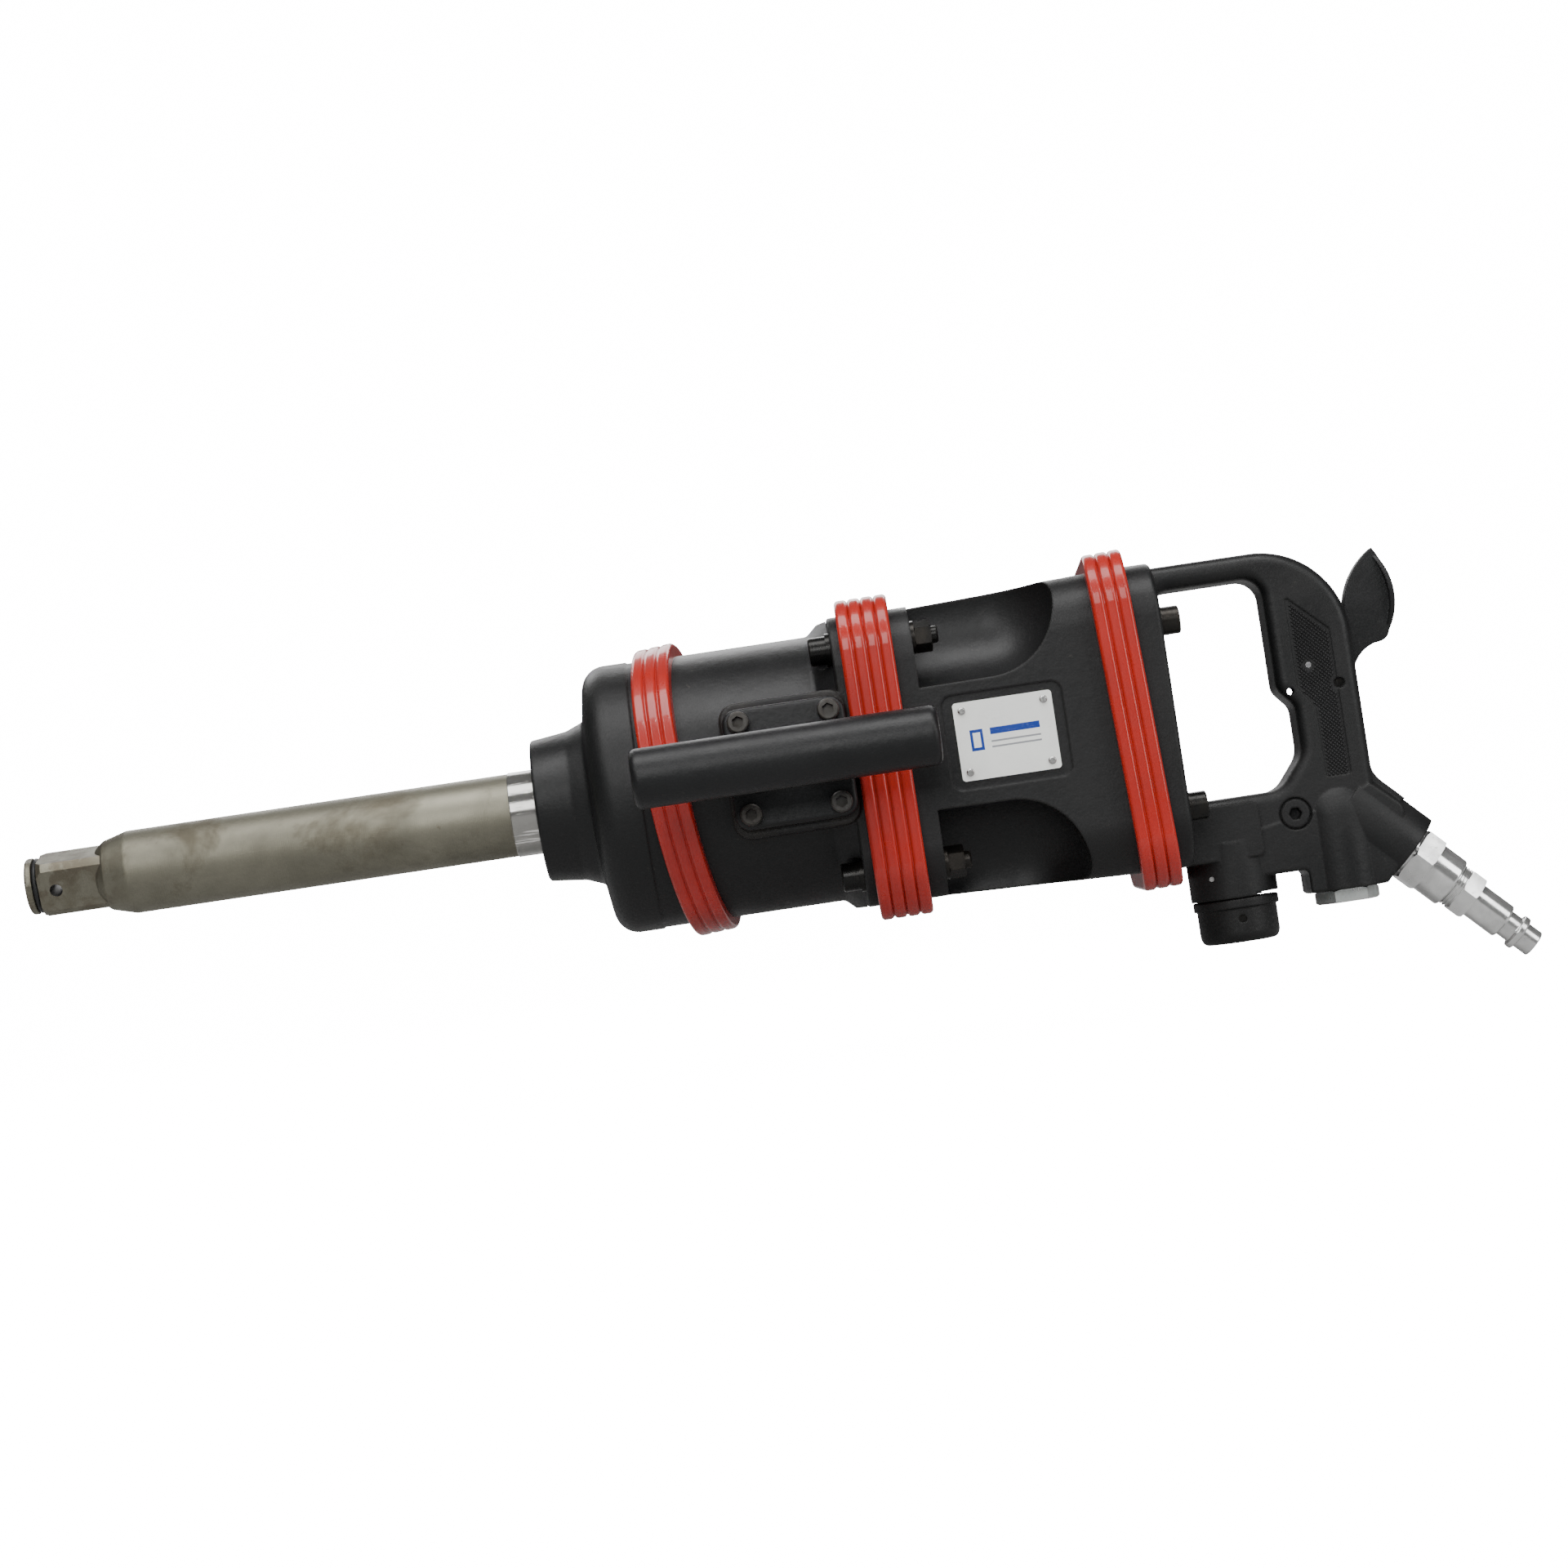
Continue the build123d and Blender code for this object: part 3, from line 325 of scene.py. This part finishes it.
def spot_mask():
    """Ragged round spot, one at the centre."""
    def build(tree, source):
        gap = add(tree, "ShaderNodeVectorMath", {0: source["Vector"], 1: source["Centre"]},
                  operation="DISTANCE").outputs["Value"]
        ragged = maths(tree, "MULTIPLY", noise(tree, source["Vector"], 160.0, 4.0), 0.009)
        reach = maths(tree, "ADD", gap, ragged)
        return {"Mask": ranged(tree, reach, 4 * MM, source["Radius"], 1.0, 0.0)}
    return effect("spot_mask", [("Vector", "Vector"), ("Centre", "Vector"), ("Radius", "Float")],
                  [("Mask", "Float")], build)


def material(name):
    """New material with its tree, shader node and object coordinates."""
    made = bpy.data.materials.new(name)
    made.use_nodes = True
    tree = made.node_tree
    shader = tree.nodes["Principled BSDF"]
    vector = add(tree, "ShaderNodeTexCoord").outputs["Object"]
    return made, tree, shader, vector


def give(node_names, finish):
    """Puts one finish on CAD nodes."""
    for name in node_names:
        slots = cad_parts[name].data.materials
        slots.clear()
        slots.append(finish)


# ------------------------------------------------------------------ finishes

def paint_finish(name, base, worn, grain, roughness=(0.40, 0.56), grime_at=(), edge=1.4 * MM):
    """Satin paint over a casting, dulled in patches and grimy round the given points.

    Sharp corners within the edge radius are shaded as the round corners of a casting.
    """
    dust_tone = (0.10, 0.09, 0.075)
    grime_tone = (0.060, 0.045, 0.031)
    made, tree, shader, vector = material(name)
    skin = use(tree, cast_skin(), {"Vector": vector, "Grain": 1 / grain, "Blotch": 17.0})
    tone = mixed(tree, skin["Mask"], base, worn)
    dust = use(tree, stains(), {"Vector": vector, "Scale": 240.0, "Level": 0.66})
    tone = mixed(tree, maths(tree, "MULTIPLY", dust["Mask"], 0.25), tone, dust_tone)
    for place in grime_at:
        spot = use(tree, spot_mask(), {"Vector": vector, "Centre": place, "Radius": 0.019})
        tone = mixed(tree, maths(tree, "MULTIPLY", spot["Mask"], 0.30), tone, grime_tone)
    tree.links.new(tone, shader.inputs["Base Color"])
    rough = ranged(tree, skin["Mask"], 0.0, 1.0, *roughness)
    tree.links.new(rough, shader.inputs["Roughness"])
    edges = add(tree, "ShaderNodeBevel", {"Radius": edge}, samples=4).outputs["Normal"]
    relief = bumped(tree, skin["Height"], 0.00016, normal=edges)
    tree.links.new(relief, shader.inputs["Normal"])
    shader.inputs["Specular IOR Level"].default_value = 0.34
    return made


def anvil_finish(finish):
    """Ground and stained steel, polished where the journal enters the nose, with painted shade
    inside the pin hole.
    """
    dull_steel = (0.168, 0.160, 0.125)
    fleck_tone = (0.09, 0.065, 0.04)
    soot_tone = (0.115, 0.098, 0.070)
    bore_painted_shade = (0.012, 0.010, 0.008)
    polished = (0.36, 0.355, 0.335)
    scratched = (0.86, 0.85, 0.82)
    made, tree, shader, vector = material("anvil_steel")
    parts = add(tree, "ShaderNodeSeparateXYZ", {0: vector})
    along = parts.outputs[0]
    journal = ranged(tree, along, JOURNAL_START - 0.1 * MM, JOURNAL_START + 0.1 * MM)
    end = ranged(tree, along, SQUARE_END + 14 * MM, SQUARE_END - 10 * MM)
    marks = use(tree, turning_marks(), {"Vector": vector, "Scale": 2600.0})["Height"]
    cloud = noise(tree, vector, 26.0, 5.0, 0.6, 0.5)
    tone = mixed(tree, ranged(tree, cloud, 0.35, 0.7), finish.steel, dull_steel)
    patches = use(tree, stains(), {"Vector": vector, "Scale": 21.0, "Level": 0.575})["Mask"]
    flecks = use(tree, stains(), {"Vector": vector, "Scale": 150.0, "Level": 0.67})["Mask"]
    tone = mixed(tree, maths(tree, "MULTIPLY", patches, 0.50), tone, finish.stain)
    tone = mixed(tree, maths(tree, "MULTIPLY", flecks, 0.5), tone, fleck_tone)
    soot = use(tree, stains(), {"Vector": vector, "Scale": 75.0, "Level": 0.46})["Mask"]
    dark = maths(tree, "MULTIPLY", soot, maths(tree, "MULTIPLY", end, 0.75))
    tone = mixed(tree, dark, tone, soot_tone)
    turned = add(tree, "ShaderNodeMapping", {"Vector": vector, "Rotation": (-DRIVE_ROLL, 0, 0)})
    # Painted shade: the inside of the pin hole is coloured near black to stand in for the shade in
    # the hole.
    bore_shade_mask = use(tree, box_mask(), {
        "Vector": turned.outputs[0], "Centre": (0, 0, 0), "Half": PIN_BORE})["Mask"]
    streaks = use(tree, scratches(), {"Vector": vector, "Stretch": (25.0, 420.0, 420.0)})["Mask"]
    bright = mixed(tree, streaks, polished, scratched)
    tone = mixed(tree, journal, tone, bright)
    tone = mixed(tree, bore_shade_mask, tone, bore_painted_shade)
    tree.links.new(tone, shader.inputs["Base Color"])
    lines = use(tree, scratches(), {"Vector": vector, "Stretch": (70.0, 1500.0, 1500.0)})
    rough = maths(tree, "ADD", ranged(tree, cloud, 0.3, 0.7, 0.44, 0.56),
                  maths(tree, "MULTIPLY", patches, 0.14))
    rough = maths(tree, "SUBTRACT", rough, maths(tree, "MULTIPLY", lines["Mask"], 0.10))
    smooth = maths(tree, "MULTIPLY", journal, 0.36)
    tree.links.new(maths(tree, "SUBTRACT", rough, smooth), shader.inputs["Roughness"])
    shader.inputs["Metallic"].default_value = 0.85
    height = maths(tree, "ADD", marks, maths(tree, "MULTIPLY", lines["Mask"], 0.4))
    tree.links.new(bumped(tree, height, 0.00003), shader.inputs["Normal"])
    return made


def rubber_finish(name, base, roughness, grain_scale=300.0, gloss=0.0, peel_depth=0.00006):
    """Moulded rubber with a slight orange peel and faint dust."""
    made, tree, shader, vector = material(name)
    broad = noise(tree, vector, 45.0, 3.0, 0.5)
    darker = tuple(0.80 * c for c in base)
    dust_tone = (0.75, 0.55, 0.45)
    tone = mixed(tree, ranged(tree, broad, 0.35, 0.7), base, darker)
    specks = use(tree, stains(), {"Vector": vector, "Scale": 520.0, "Level": 0.70})["Mask"]
    tone = mixed(tree, maths(tree, "MULTIPLY", specks, 0.22), tone, dust_tone)
    tree.links.new(tone, shader.inputs["Base Color"])
    rough = ranged(tree, noise(tree, vector, 90.0, 4.0), 0.3, 0.7, roughness - 0.05,
                   roughness + 0.08)
    tree.links.new(rough, shader.inputs["Roughness"])
    peel = noise(tree, vector, grain_scale, 2.0, 0.5)
    tree.links.new(bumped(tree, peel, peel_depth), shader.inputs["Normal"])
    shader.inputs["Specular IOR Level"].default_value = 0.35
    shader.inputs["Coat Weight"].default_value = gloss
    shader.inputs["Coat Roughness"].default_value = 0.06
    return made


def metal_finish(name, base, tint, roughness, stretch, metallic=1.0, bump=0.00002):
    """Bare or plated metal with fine scratches and a second tone in patches."""
    made, tree, shader, vector = material(name)
    cloud = noise(tree, vector, 70.0, 4.0, 0.6, 0.3)
    lines = use(tree, scratches(), {"Vector": vector, "Stretch": stretch})["Mask"]
    patch = ranged(tree, cloud, 0.42, 0.70)
    tree.links.new(mixed(tree, patch, base, tint), shader.inputs["Base Color"])
    rough = maths(tree, "ADD", ranged(tree, cloud, 0.3, 0.7, roughness, roughness + 0.12),
                  maths(tree, "MULTIPLY", lines, 0.10))
    tree.links.new(rough, shader.inputs["Roughness"])
    shader.inputs["Metallic"].default_value = metallic
    height = maths(tree, "ADD", maths(tree, "MULTIPLY", lines, 0.5), cloud)
    tree.links.new(bumped(tree, height, bump), shader.inputs["Normal"])
    return made


def plate_finish(finish):
    """Gloss enamel plate with a plain bar, a small square and ruled lines."""
    made, tree, shader, vector = material("nameplate_enamel")
    middle = (PLATE_LOW + PLATE_HIGH) / 2
    half = (PLATE_HIGH - PLATE_LOW) / 2
    ink = finish.plate_ink
    grey = (0.30, 0.31, 0.33)
    white = (0.95, 0.96, 0.92)
    yellowed = (0.88, 0.89, 0.86)
    scuff_tone = (0.45, 0.45, 0.45)
    shapes = [
        ((0.18, 0.18), (0.50, 0.085), ink),
        ((-0.60, 0.0), (0.13, 0.27), ink),
        ((-0.60, 0.0), (0.075, 0.19), (0.92, 0.93, 0.90)),
        ((0.18, -0.08), (0.50, 0.022), grey),
        ((0.18, -0.22), (0.50, 0.022), grey),
    ]
    haze = noise(tree, vector, 60.0, 3.0)
    tone = mixed(tree, ranged(tree, haze, 0.3, 0.7), white, yellowed)
    for (u, v), (half_u, half_v), ink_colour in shapes:
        centre = (middle.x + u * half.x, middle.y, middle.z + v * half.z)
        mask = use(tree, box_mask(), {
            "Vector": vector, "Centre": centre, "Half": (half_u * half.x, 0.01, half_v * half.z)})
        tone = mixed(tree, mask["Mask"], tone, ink_colour)
    scuffs = use(tree, scratches(), {"Vector": vector, "Stretch": (240.0, 240.0, 2200.0)})
    tone = mixed(tree, maths(tree, "MULTIPLY", scuffs["Mask"], 0.15), tone, scuff_tone)
    tree.links.new(tone, shader.inputs["Base Color"])
    tree.links.new(ranged(tree, haze, 0.3, 0.7, 0.16, 0.28), shader.inputs["Roughness"])
    shader.inputs["Coat Weight"].default_value = 0.4
    tree.links.new(bumped(tree, haze, 0.00004), shader.inputs["Normal"])
    return made


def gasket_finish():
    """Pressed fibre gasket."""
    made, tree, shader, vector = material("gasket_fibre")
    fibres = noise(tree, vector, 900.0, 4.0, 0.7)
    tree.links.new(mixed(tree, fibres, (0.12, 0.095, 0.065), (0.22, 0.18, 0.13)),
                   shader.inputs["Base Color"])
    shader.inputs["Roughness"].default_value = 0.85
    tree.links.new(bumped(tree, fibres, 0.00006), shader.inputs["Normal"])
    return made


# ------------------------------------------------------------------ mesh helpers

def piece(name, mesh, body, finish, smooth=True):
    """Object from a bmesh, riding on a body, with a finish."""
    bmesh.ops.remove_doubles(mesh, verts=mesh.verts, dist=1e-6)
    bmesh.ops.recalc_face_normals(mesh, faces=mesh.faces)
    data = bpy.data.meshes.new(name)
    mesh.to_mesh(data)
    mesh.free()
    for face in data.polygons:
        face.use_smooth = smooth
    data.materials.append(finish)
    made = bpy.data.objects.new(name, data)
    bpy.context.scene.collection.objects.link(made)
    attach(made, body)
    return made


def spun(mesh, profile, axis, centre, steps=64):
    """Closed surface of revolution from (along, radius) points about an axis."""
    side = axis.orthogonal().normalized()
    verts = [mesh.verts.new(centre + axis * along + side * radius) for along, radius in profile]
    edges = [mesh.edges.new(pair) for pair in zip(verts, verts[1:] + verts[:1])]
    bmesh.ops.spin(mesh, geom=verts + edges, cent=centre, axis=axis, steps=steps,
                   angle=math.tau, use_merge=True)


# ------------------------------------------------------------------ operators

class IW_OT_castings(bpy.types.Operator):
    """Paint the hammer case, motor housing and D-handle casting"""
    bl_idname = "iw.castings"
    bl_label = "Castings"

    def execute(self, context):
        finish = context.scene.iw_finish
        low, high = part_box("side_handle_screws")
        head, reach = 5 * MM, 12 * MM
        spots = [(x, low.y + reach, z) for x in (low.x + head, high.x - head)
                 for z in (low.z + head, high.z - head)]
        case = paint_finish("case_paint", finish.paint, finish.paint_worn, finish.cast_grain,
                            grime_at=spots)
        give(["hammer_case"], case)
        plain = paint_finish("housing_paint", finish.paint, finish.paint_worn,
                             finish.cast_grain)
        give(["motor_housing", "handle_casting", "oil_plug"], plain)
        return {"FINISHED"}


class IW_OT_handles(bpy.types.Operator):
    """Coat the side handle, throttle lever and reverse knob"""
    bl_idname = "iw.handles"
    bl_label = "Handles and controls"

    def execute(self, context):
        finish = context.scene.iw_finish
        worn = tuple(1.7 * c for c in finish.coat)
        coat = paint_finish("handle_coat", finish.coat, worn, 0.7 * finish.cast_grain,
                            roughness=(0.36, 0.48))
        give(["side_handle_grip", "side_handle_bracket", "throttle_lever"], coat)
        knob_black = (0.0042, 0.0042, 0.0044)
        knob_worn = (0.009, 0.009, 0.0092)
        knob = paint_finish("knob_coat", knob_black, knob_worn, 0.5 * finish.cast_grain,
                            roughness=(0.42, 0.52))
        give(["reverse_knob"], knob)
        return {"FINISHED"}


class IW_OT_steelwork(bpy.types.Operator):
    """Finish the anvil, the fasteners and the parts inside"""
    bl_idname = "iw.steelwork"
    bl_label = "Steelwork"

    def execute(self, context):
        finish = context.scene.iw_finish
        give(["anvil"], anvil_finish(finish))
        oxide = metal_finish("black_oxide", (0.016, 0.0158, 0.0152), (0.030, 0.026, 0.022), 0.24,
                             (900.0, 260.0, 260.0), metallic=0.75, bump=0.00005)
        give(["flange_bolts", "flange_washers", "flange_nuts", "rear_screws",
              "rear_spring_washers", "knob_screw", "knob_set_screw", "lever_pin"], oxide)
        rubbed = metal_finish("rubbed_oxide", (0.060, 0.058, 0.054), (0.036, 0.032, 0.027),
                              0.34, (500.0, 260.0, 500.0), metallic=0.7, bump=0.00005)
        give(["side_handle_screws"], rubbed)
        hard = metal_finish("hard_steel", (0.46, 0.46, 0.47), (0.36, 0.35, 0.34), 0.25,
                            (90.0, 1400.0, 1400.0))
        give(["hammer_cage", "front_hammer", "rear_hammer", "hammer_pins", "rotor",
              "front_rotor_bearing", "rear_rotor_bearing", "reverse_spool",
              "handle_roll_pins"], hard)
        iron = metal_finish("cylinder_iron", (0.27, 0.27, 0.28), (0.20, 0.20, 0.20), 0.42,
                            (300.0, 700.0, 700.0), bump=0.00006)
        give(["motor_cylinder", "front_end_plate", "rear_end_plate"], iron)
        bronze = metal_finish("bronze", (0.52, 0.31, 0.13), (0.36, 0.21, 0.09), 0.30,
                              (1200.0, 100.0, 100.0))
        give(["anvil_bushing", "throttle_stem", "inlet_screen"], bronze)
        return {"FINISHED"}


class IW_OT_spring(bpy.types.Operator):
    """Make the valve spring, which rests on its cap, from the CAD spring"""
    bl_idname = "iw.spring"
    bl_label = "Throttle spring"

    def execute(self, context):
        mesh = bmesh.new()
        mesh.from_mesh(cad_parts["throttle_spring"].data)
        coil = piece("valve_spring_coil", mesh, "housing",
                     bpy.data.materials["hard_steel"])
        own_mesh(coil)
        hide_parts("throttle_spring")
        return {"FINISHED"}


class IW_OT_seals(bpy.types.Operator):
    """Finish the seals, gaskets and vanes"""
    bl_idname = "iw.seals"
    bl_label = "Seals and gaskets"

    def execute(self, context):
        black = rubber_finish("black_rubber", (0.018, 0.018, 0.018), 0.42, 700.0)
        give(["socket_retaining_ring", "nose_oil_seal", "valve_seat", "cap_o_ring"], black)
        give(["case_gasket", "rear_gasket"], gasket_finish())
        vane = metal_finish("vane_laminate", (0.28, 0.15, 0.07), (0.20, 0.11, 0.05), 0.5,
                            (60.0, 900.0, 900.0), metallic=0.0)
        give(["vanes"], vane)
        return {"FINISHED"}


class IW_OT_bands(bpy.types.Operator):
    """Finish the three ribbed rubber bands"""
    bl_idname = "iw.bands"
    bl_label = "Rubber bands"

    def execute(self, context):
        red = rubber_finish("band_rubber", tuple(context.scene.iw_finish.rubber), 0.30,
                            gloss=0.40, peel_depth=0.00002)
        give(["front_band", "middle_band", "rear_band"], red)
        return {"FINISHED"}


class IW_OT_nameplate(bpy.types.Operator):
    """Finish the nameplate and its rivets"""
    bl_idname = "iw.nameplate"
    bl_label = "Nameplate"

    def execute(self, context):
        give(["nameplate"], plate_finish(context.scene.iw_finish))
        rivet = metal_finish("bright_rivet", (0.50, 0.50, 0.49), (0.40, 0.40, 0.39), 0.20,
                             (900.0, 900.0, 200.0))
        give(["nameplate_rivets"], rivet)
        return {"FINISHED"}


class IW_OT_fittings(bpy.types.Operator):
    """Plate the air fitting and valve cap, and cut the thread that shows between them"""
    bl_idname = "iw.fittings"
    bl_label = "Air fittings"

    def execute(self, context):
        nickel = metal_finish("nickel_plate", (0.82, 0.82, 0.81), (0.60, 0.60, 0.59), 0.10,
                              (420.0, 420.0, 1600.0), metallic=0.88, bump=0.00001)
        give(["inlet_adapter", "air_plug"], nickel)
        zinc = metal_finish("zinc_plate", (0.70, 0.73, 0.71), (0.52, 0.56, 0.54), 0.24,
                            (1500.0, 300.0, 300.0), metallic=0.72, bump=0.00003)
        give(["valve_cap"], zinc)
        thread = context.scene.iw_thread
        mesh = bmesh.new()
        half = 0.46 * thread.pitch
        tip = 0.2 * half
        for turn in range(thread.turns):
            at = THREAD_START + (turn + 0.5) * thread.pitch
            profile = [(at - half, THREAD_ROOT_R), (at - tip, THREAD_CREST_R),
                       (at + tip, THREAD_CREST_R), (at + half, THREAD_ROOT_R)]
            spun(mesh, profile, INLET_AXIS, INLET_FACE)
        piece("plug_thread", mesh, "housing", nickel, smooth=False)
        return {"FINISHED"}


class IW_OT_knurls(bpy.types.Operator):
    """Raise the knurled points on both sides of the rear grip"""
    bl_idname = "iw.knurls"
    bl_label = "Grip knurls"

    def execute(self, context):
        knurl = context.scene.iw_knurl
        paint = context.scene.iw_finish
        # The knurl points are painted paler than the case. This is partly worn tips and partly a
        # painted highlight standing in for the light their tips catch.
        worn = tuple(2 * c for c in paint.paint_worn)
        finish = paint_finish("knurl_wear_and_highlight", paint.paint_worn, worn, paint.cast_grain,
                              roughness=(0.34, 0.46), edge=0.15 * MM)
        start_x, start_z = PANEL_START
        width, height = PANEL_SPAN
        rows = int(height / (0.5 * knurl.pitch))
        columns = int(width / knurl.pitch) + 1
        for side, label in ((-1, "near"), (1, "far")):
            mesh = bmesh.new()
            for row in range(rows):
                z = start_z + row * 0.5 * knurl.pitch
                for column in range(columns):
                    x = start_x + (column + 0.5 * (row % 2)) * knurl.pitch
                    if self.inside(x, z):
                        self.point(mesh, x, z, side, knurl)
            piece("grip_knurl_" + label, mesh, "housing", finish, smooth=False)
        return {"FINISHED"}

    def inside(self, x, z):
        """Whether a point lies in the knurled panel, clear of its rim and its two holes."""
        upper_left, lower_left = PANEL_LEFT
        bottom, top = PANEL_STEP
        share = min(max((top - z) / (top - bottom), 0.0), 1.0)
        left = upper_left + share * (lower_left - upper_left)
        ceiling = PANEL_TOP + (PANEL_RIGHT - x) * PANEL_TOP_SLOPE
        across = left + PANEL_RIM < x < PANEL_RIGHT - PANEL_RIM
        below = z < ceiling - 1.5 * PANEL_RIM
        return across and below and all(
            math.hypot(x - hole_x, z - hole_z) > radius for hole_x, hole_z, radius in PANEL_HOLES)

    def point(self, mesh, x, z, side, knurl):
        """One four-sided knurl point."""
        made = bmesh.ops.create_cone(
            mesh, cap_ends=True, segments=4, radius1=0.48 * knurl.pitch,
            radius2=0.22 * knurl.pitch, depth=knurl.height)
        turn = Matrix.Rotation(math.radians(-90 * side), 4, "X")
        lift = Matrix.Translation((x, side * (PANEL_FACE_Y + knurl.height / 2), z))
        bmesh.ops.transform(mesh, matrix=lift @ turn, verts=made["verts"])


class IW_OT_studio(bpy.types.Operator):
    """Set up the floor, backdrop, lights and camera"""
    bl_idname = "iw.studio"
    bl_label = "Studio"

    def execute(self, context):
        studio = context.scene.iw_studio
        self.backdrop()
        self.surroundings(context.scene)
        self.lights()
        self.camera(context.scene, studio)
        return {"FINISHED"}

    def backdrop(self):
        """Pale floor that curves up into a seamless wall all round."""
        radius, bend, wall = 3.4, 1.2, 3.2
        rings, bend_steps = 4, 12
        profile = [(0.0, radius * ring / rings) for ring in range(rings)]
        for step in range(bend_steps + 1):
            angle = math.pi / 2 * step / bend_steps
            profile.append((bend - bend * math.cos(angle), radius + bend * math.sin(angle)))
        profile.append((wall, radius + bend))
        mesh = bmesh.new()
        verts = [mesh.verts.new((FLOOR_CENTRE_X + out, 0, FLOOR_Z + up)) for up, out in profile]
        edges = [mesh.edges.new(pair) for pair in zip(verts, verts[1:])]
        bmesh.ops.spin(mesh, geom=verts + edges, cent=(FLOOR_CENTRE_X, 0, 0), axis=(0, 0, 1),
                       steps=96, angle=math.tau, use_merge=True)
        bmesh.ops.remove_doubles(mesh, verts=mesh.verts, dist=0.001)
        bmesh.ops.recalc_face_normals(mesh, faces=mesh.faces)
        if mesh.faces[0].normal.z < 0:
            bmesh.ops.reverse_faces(mesh, faces=mesh.faces)
        data = bpy.data.meshes.new("backdrop")
        mesh.to_mesh(data)
        mesh.free()
        for face in data.polygons:
            face.use_smooth = True
        made, tree, shader, vector = material("backdrop_paper")
        shade = ranged(tree, noise(tree, vector, 2.0), 0.3, 0.7, 0.38, 0.41)
        white = add(tree, "ShaderNodeCombineColor", {0: shade, 1: shade, 2: shade}).outputs[0]
        tree.links.new(white, shader.inputs["Base Color"])
        shader.inputs["Roughness"].default_value = 1.0
        shader.inputs["Specular IOR Level"].default_value = 0.0
        shader.inputs["Emission Color"].default_value = (1, 1, 1, 1)
        seen = add(tree, "ShaderNodeLightPath").outputs["Is Camera Ray"]
        glow = ranged(tree, seen, 0.0, 1.0, 0.03, 16.0)
        tree.links.new(glow, shader.inputs["Emission Strength"])
        data.materials.append(made)
        floor = bpy.data.objects.new("backdrop", data)
        bpy.context.scene.collection.objects.link(floor)

    def surroundings(self, scene):
        """Soft white world light."""
        world = bpy.data.worlds.new("studio")
        scene.world = world
        world.use_nodes = True
        background = world.node_tree.nodes["Background"]
        background.inputs["Color"].default_value = (1, 1, 1, 1)
        background.inputs["Strength"].default_value = 0.15

    def lights(self):
        """Large soft lights, strips, and small lamps that make glints on gloss rubber."""
        rows = [
            ("top_light", (0.30, -0.45, 1.30), (1.6, 0.6), 20.0),
            ("front_light", (0.10, -1.90, 0.65), (1.0, 0.7), 13.0),
            ("strip_left", (-0.35, -0.85, 0.85), (0.05, 0.7), 2.6),
            ("strip_right", (1.05, -0.75, 0.85), (0.05, 0.7), 2.6),
            ("card_right", (1.45, -0.70, 0.30), (0.5, 0.6), 5.0),
            ("back_light", (0.35, 1.30, 0.80), (1.4, 0.6), 12.0),
        ]
        spots = [(-0.10, -1.15, 0.70), (0.25, -1.30, 0.75), (0.60, -1.15, 0.70),
                 (0.95, -1.20, 0.60), (0.15, -0.80, 1.20), (0.55, -0.80, 1.20)]
        for number, place in enumerate(spots, start=1):
            rows.append((f"lamp_{number}", place, (0.05, 0.05), 0.45))
        for name, place, (width, height), power in rows:
            data = bpy.data.lights.new(name, "AREA")
            data.shape = "RECTANGLE"
            data.size = width
            data.size_y = height
            data.energy = power
            lamp = bpy.data.objects.new(name, data)
            lamp.location = place
            toward = LIGHT_TARGET - Vector(place)
            lamp.rotation_euler = toward.to_track_quat("-Z", "Y").to_euler()
            bpy.context.scene.collection.objects.link(lamp)

    def camera(self, scene, studio):
        """Long-lens camera, almost level with the tool and rolled a little."""
        data = bpy.data.cameras.new("camera")
        data.lens = data.sensor_width * studio.distance / studio.field
        data.clip_end = 20
        aim = Vector(studio.aim)
        back = Vector((0, -math.cos(studio.elevation), math.sin(studio.elevation)))
        side = Vector((1, 0, 0))
        upward = back.cross(side)
        right = side * math.cos(studio.roll) - upward * math.sin(studio.roll)
        top = back.cross(right)
        turn = Matrix((right, top, back)).transposed().to_4x4()
        camera = bpy.data.objects.new("camera", data)
        camera.matrix_world = Matrix.Translation(aim + back * studio.distance) @ turn
        scene.collection.objects.link(camera)
        scene.camera = camera


OPERATORS = (
    IW_OT_studio, IW_OT_castings, IW_OT_handles, IW_OT_steelwork, IW_OT_spring, IW_OT_seals,
    IW_OT_bands, IW_OT_nameplate, IW_OT_fittings, IW_OT_knurls,
)
SETTINGS = (
    ("iw_finish", IW_Finish), ("iw_knurl", IW_Knurl), ("iw_thread", IW_Thread),
    ("iw_studio", IW_Studio),
)


class IW_PT_panel(bpy.types.Panel):
    """Lists the wrench's operators and settings"""
    bl_label = "Impact wrench"
    bl_idname = "IW_PT_panel"
    bl_space_type = "VIEW_3D"
    bl_region_type = "UI"
    bl_category = "Impact wrench"

    def draw(self, context):
        for operator in OPERATORS:
            self.layout.operator(operator.bl_idname)
        for name, group in SETTINGS:
            box = self.layout.box()
            for field in group.__annotations__:
                box.prop(getattr(context.scene, name), field)


def register():
    for name, group in SETTINGS:
        bpy.utils.register_class(group)
        setattr(bpy.types.Scene, name, PointerProperty(type=group))
    for cls in OPERATORS + (IW_PT_panel,):
        bpy.utils.register_class(cls)


def unregister():
    for cls in reversed(OPERATORS + (IW_PT_panel,)):
        bpy.utils.unregister_class(cls)
    for name, group in reversed(SETTINGS):
        delattr(bpy.types.Scene, name)
        bpy.utils.unregister_class(group)


def main():
    register()
    for operator in OPERATORS:
        family, name = operator.bl_idname.split(".")
        getattr(getattr(bpy.ops, family), name)()


if __name__ == "__main__":
    main()
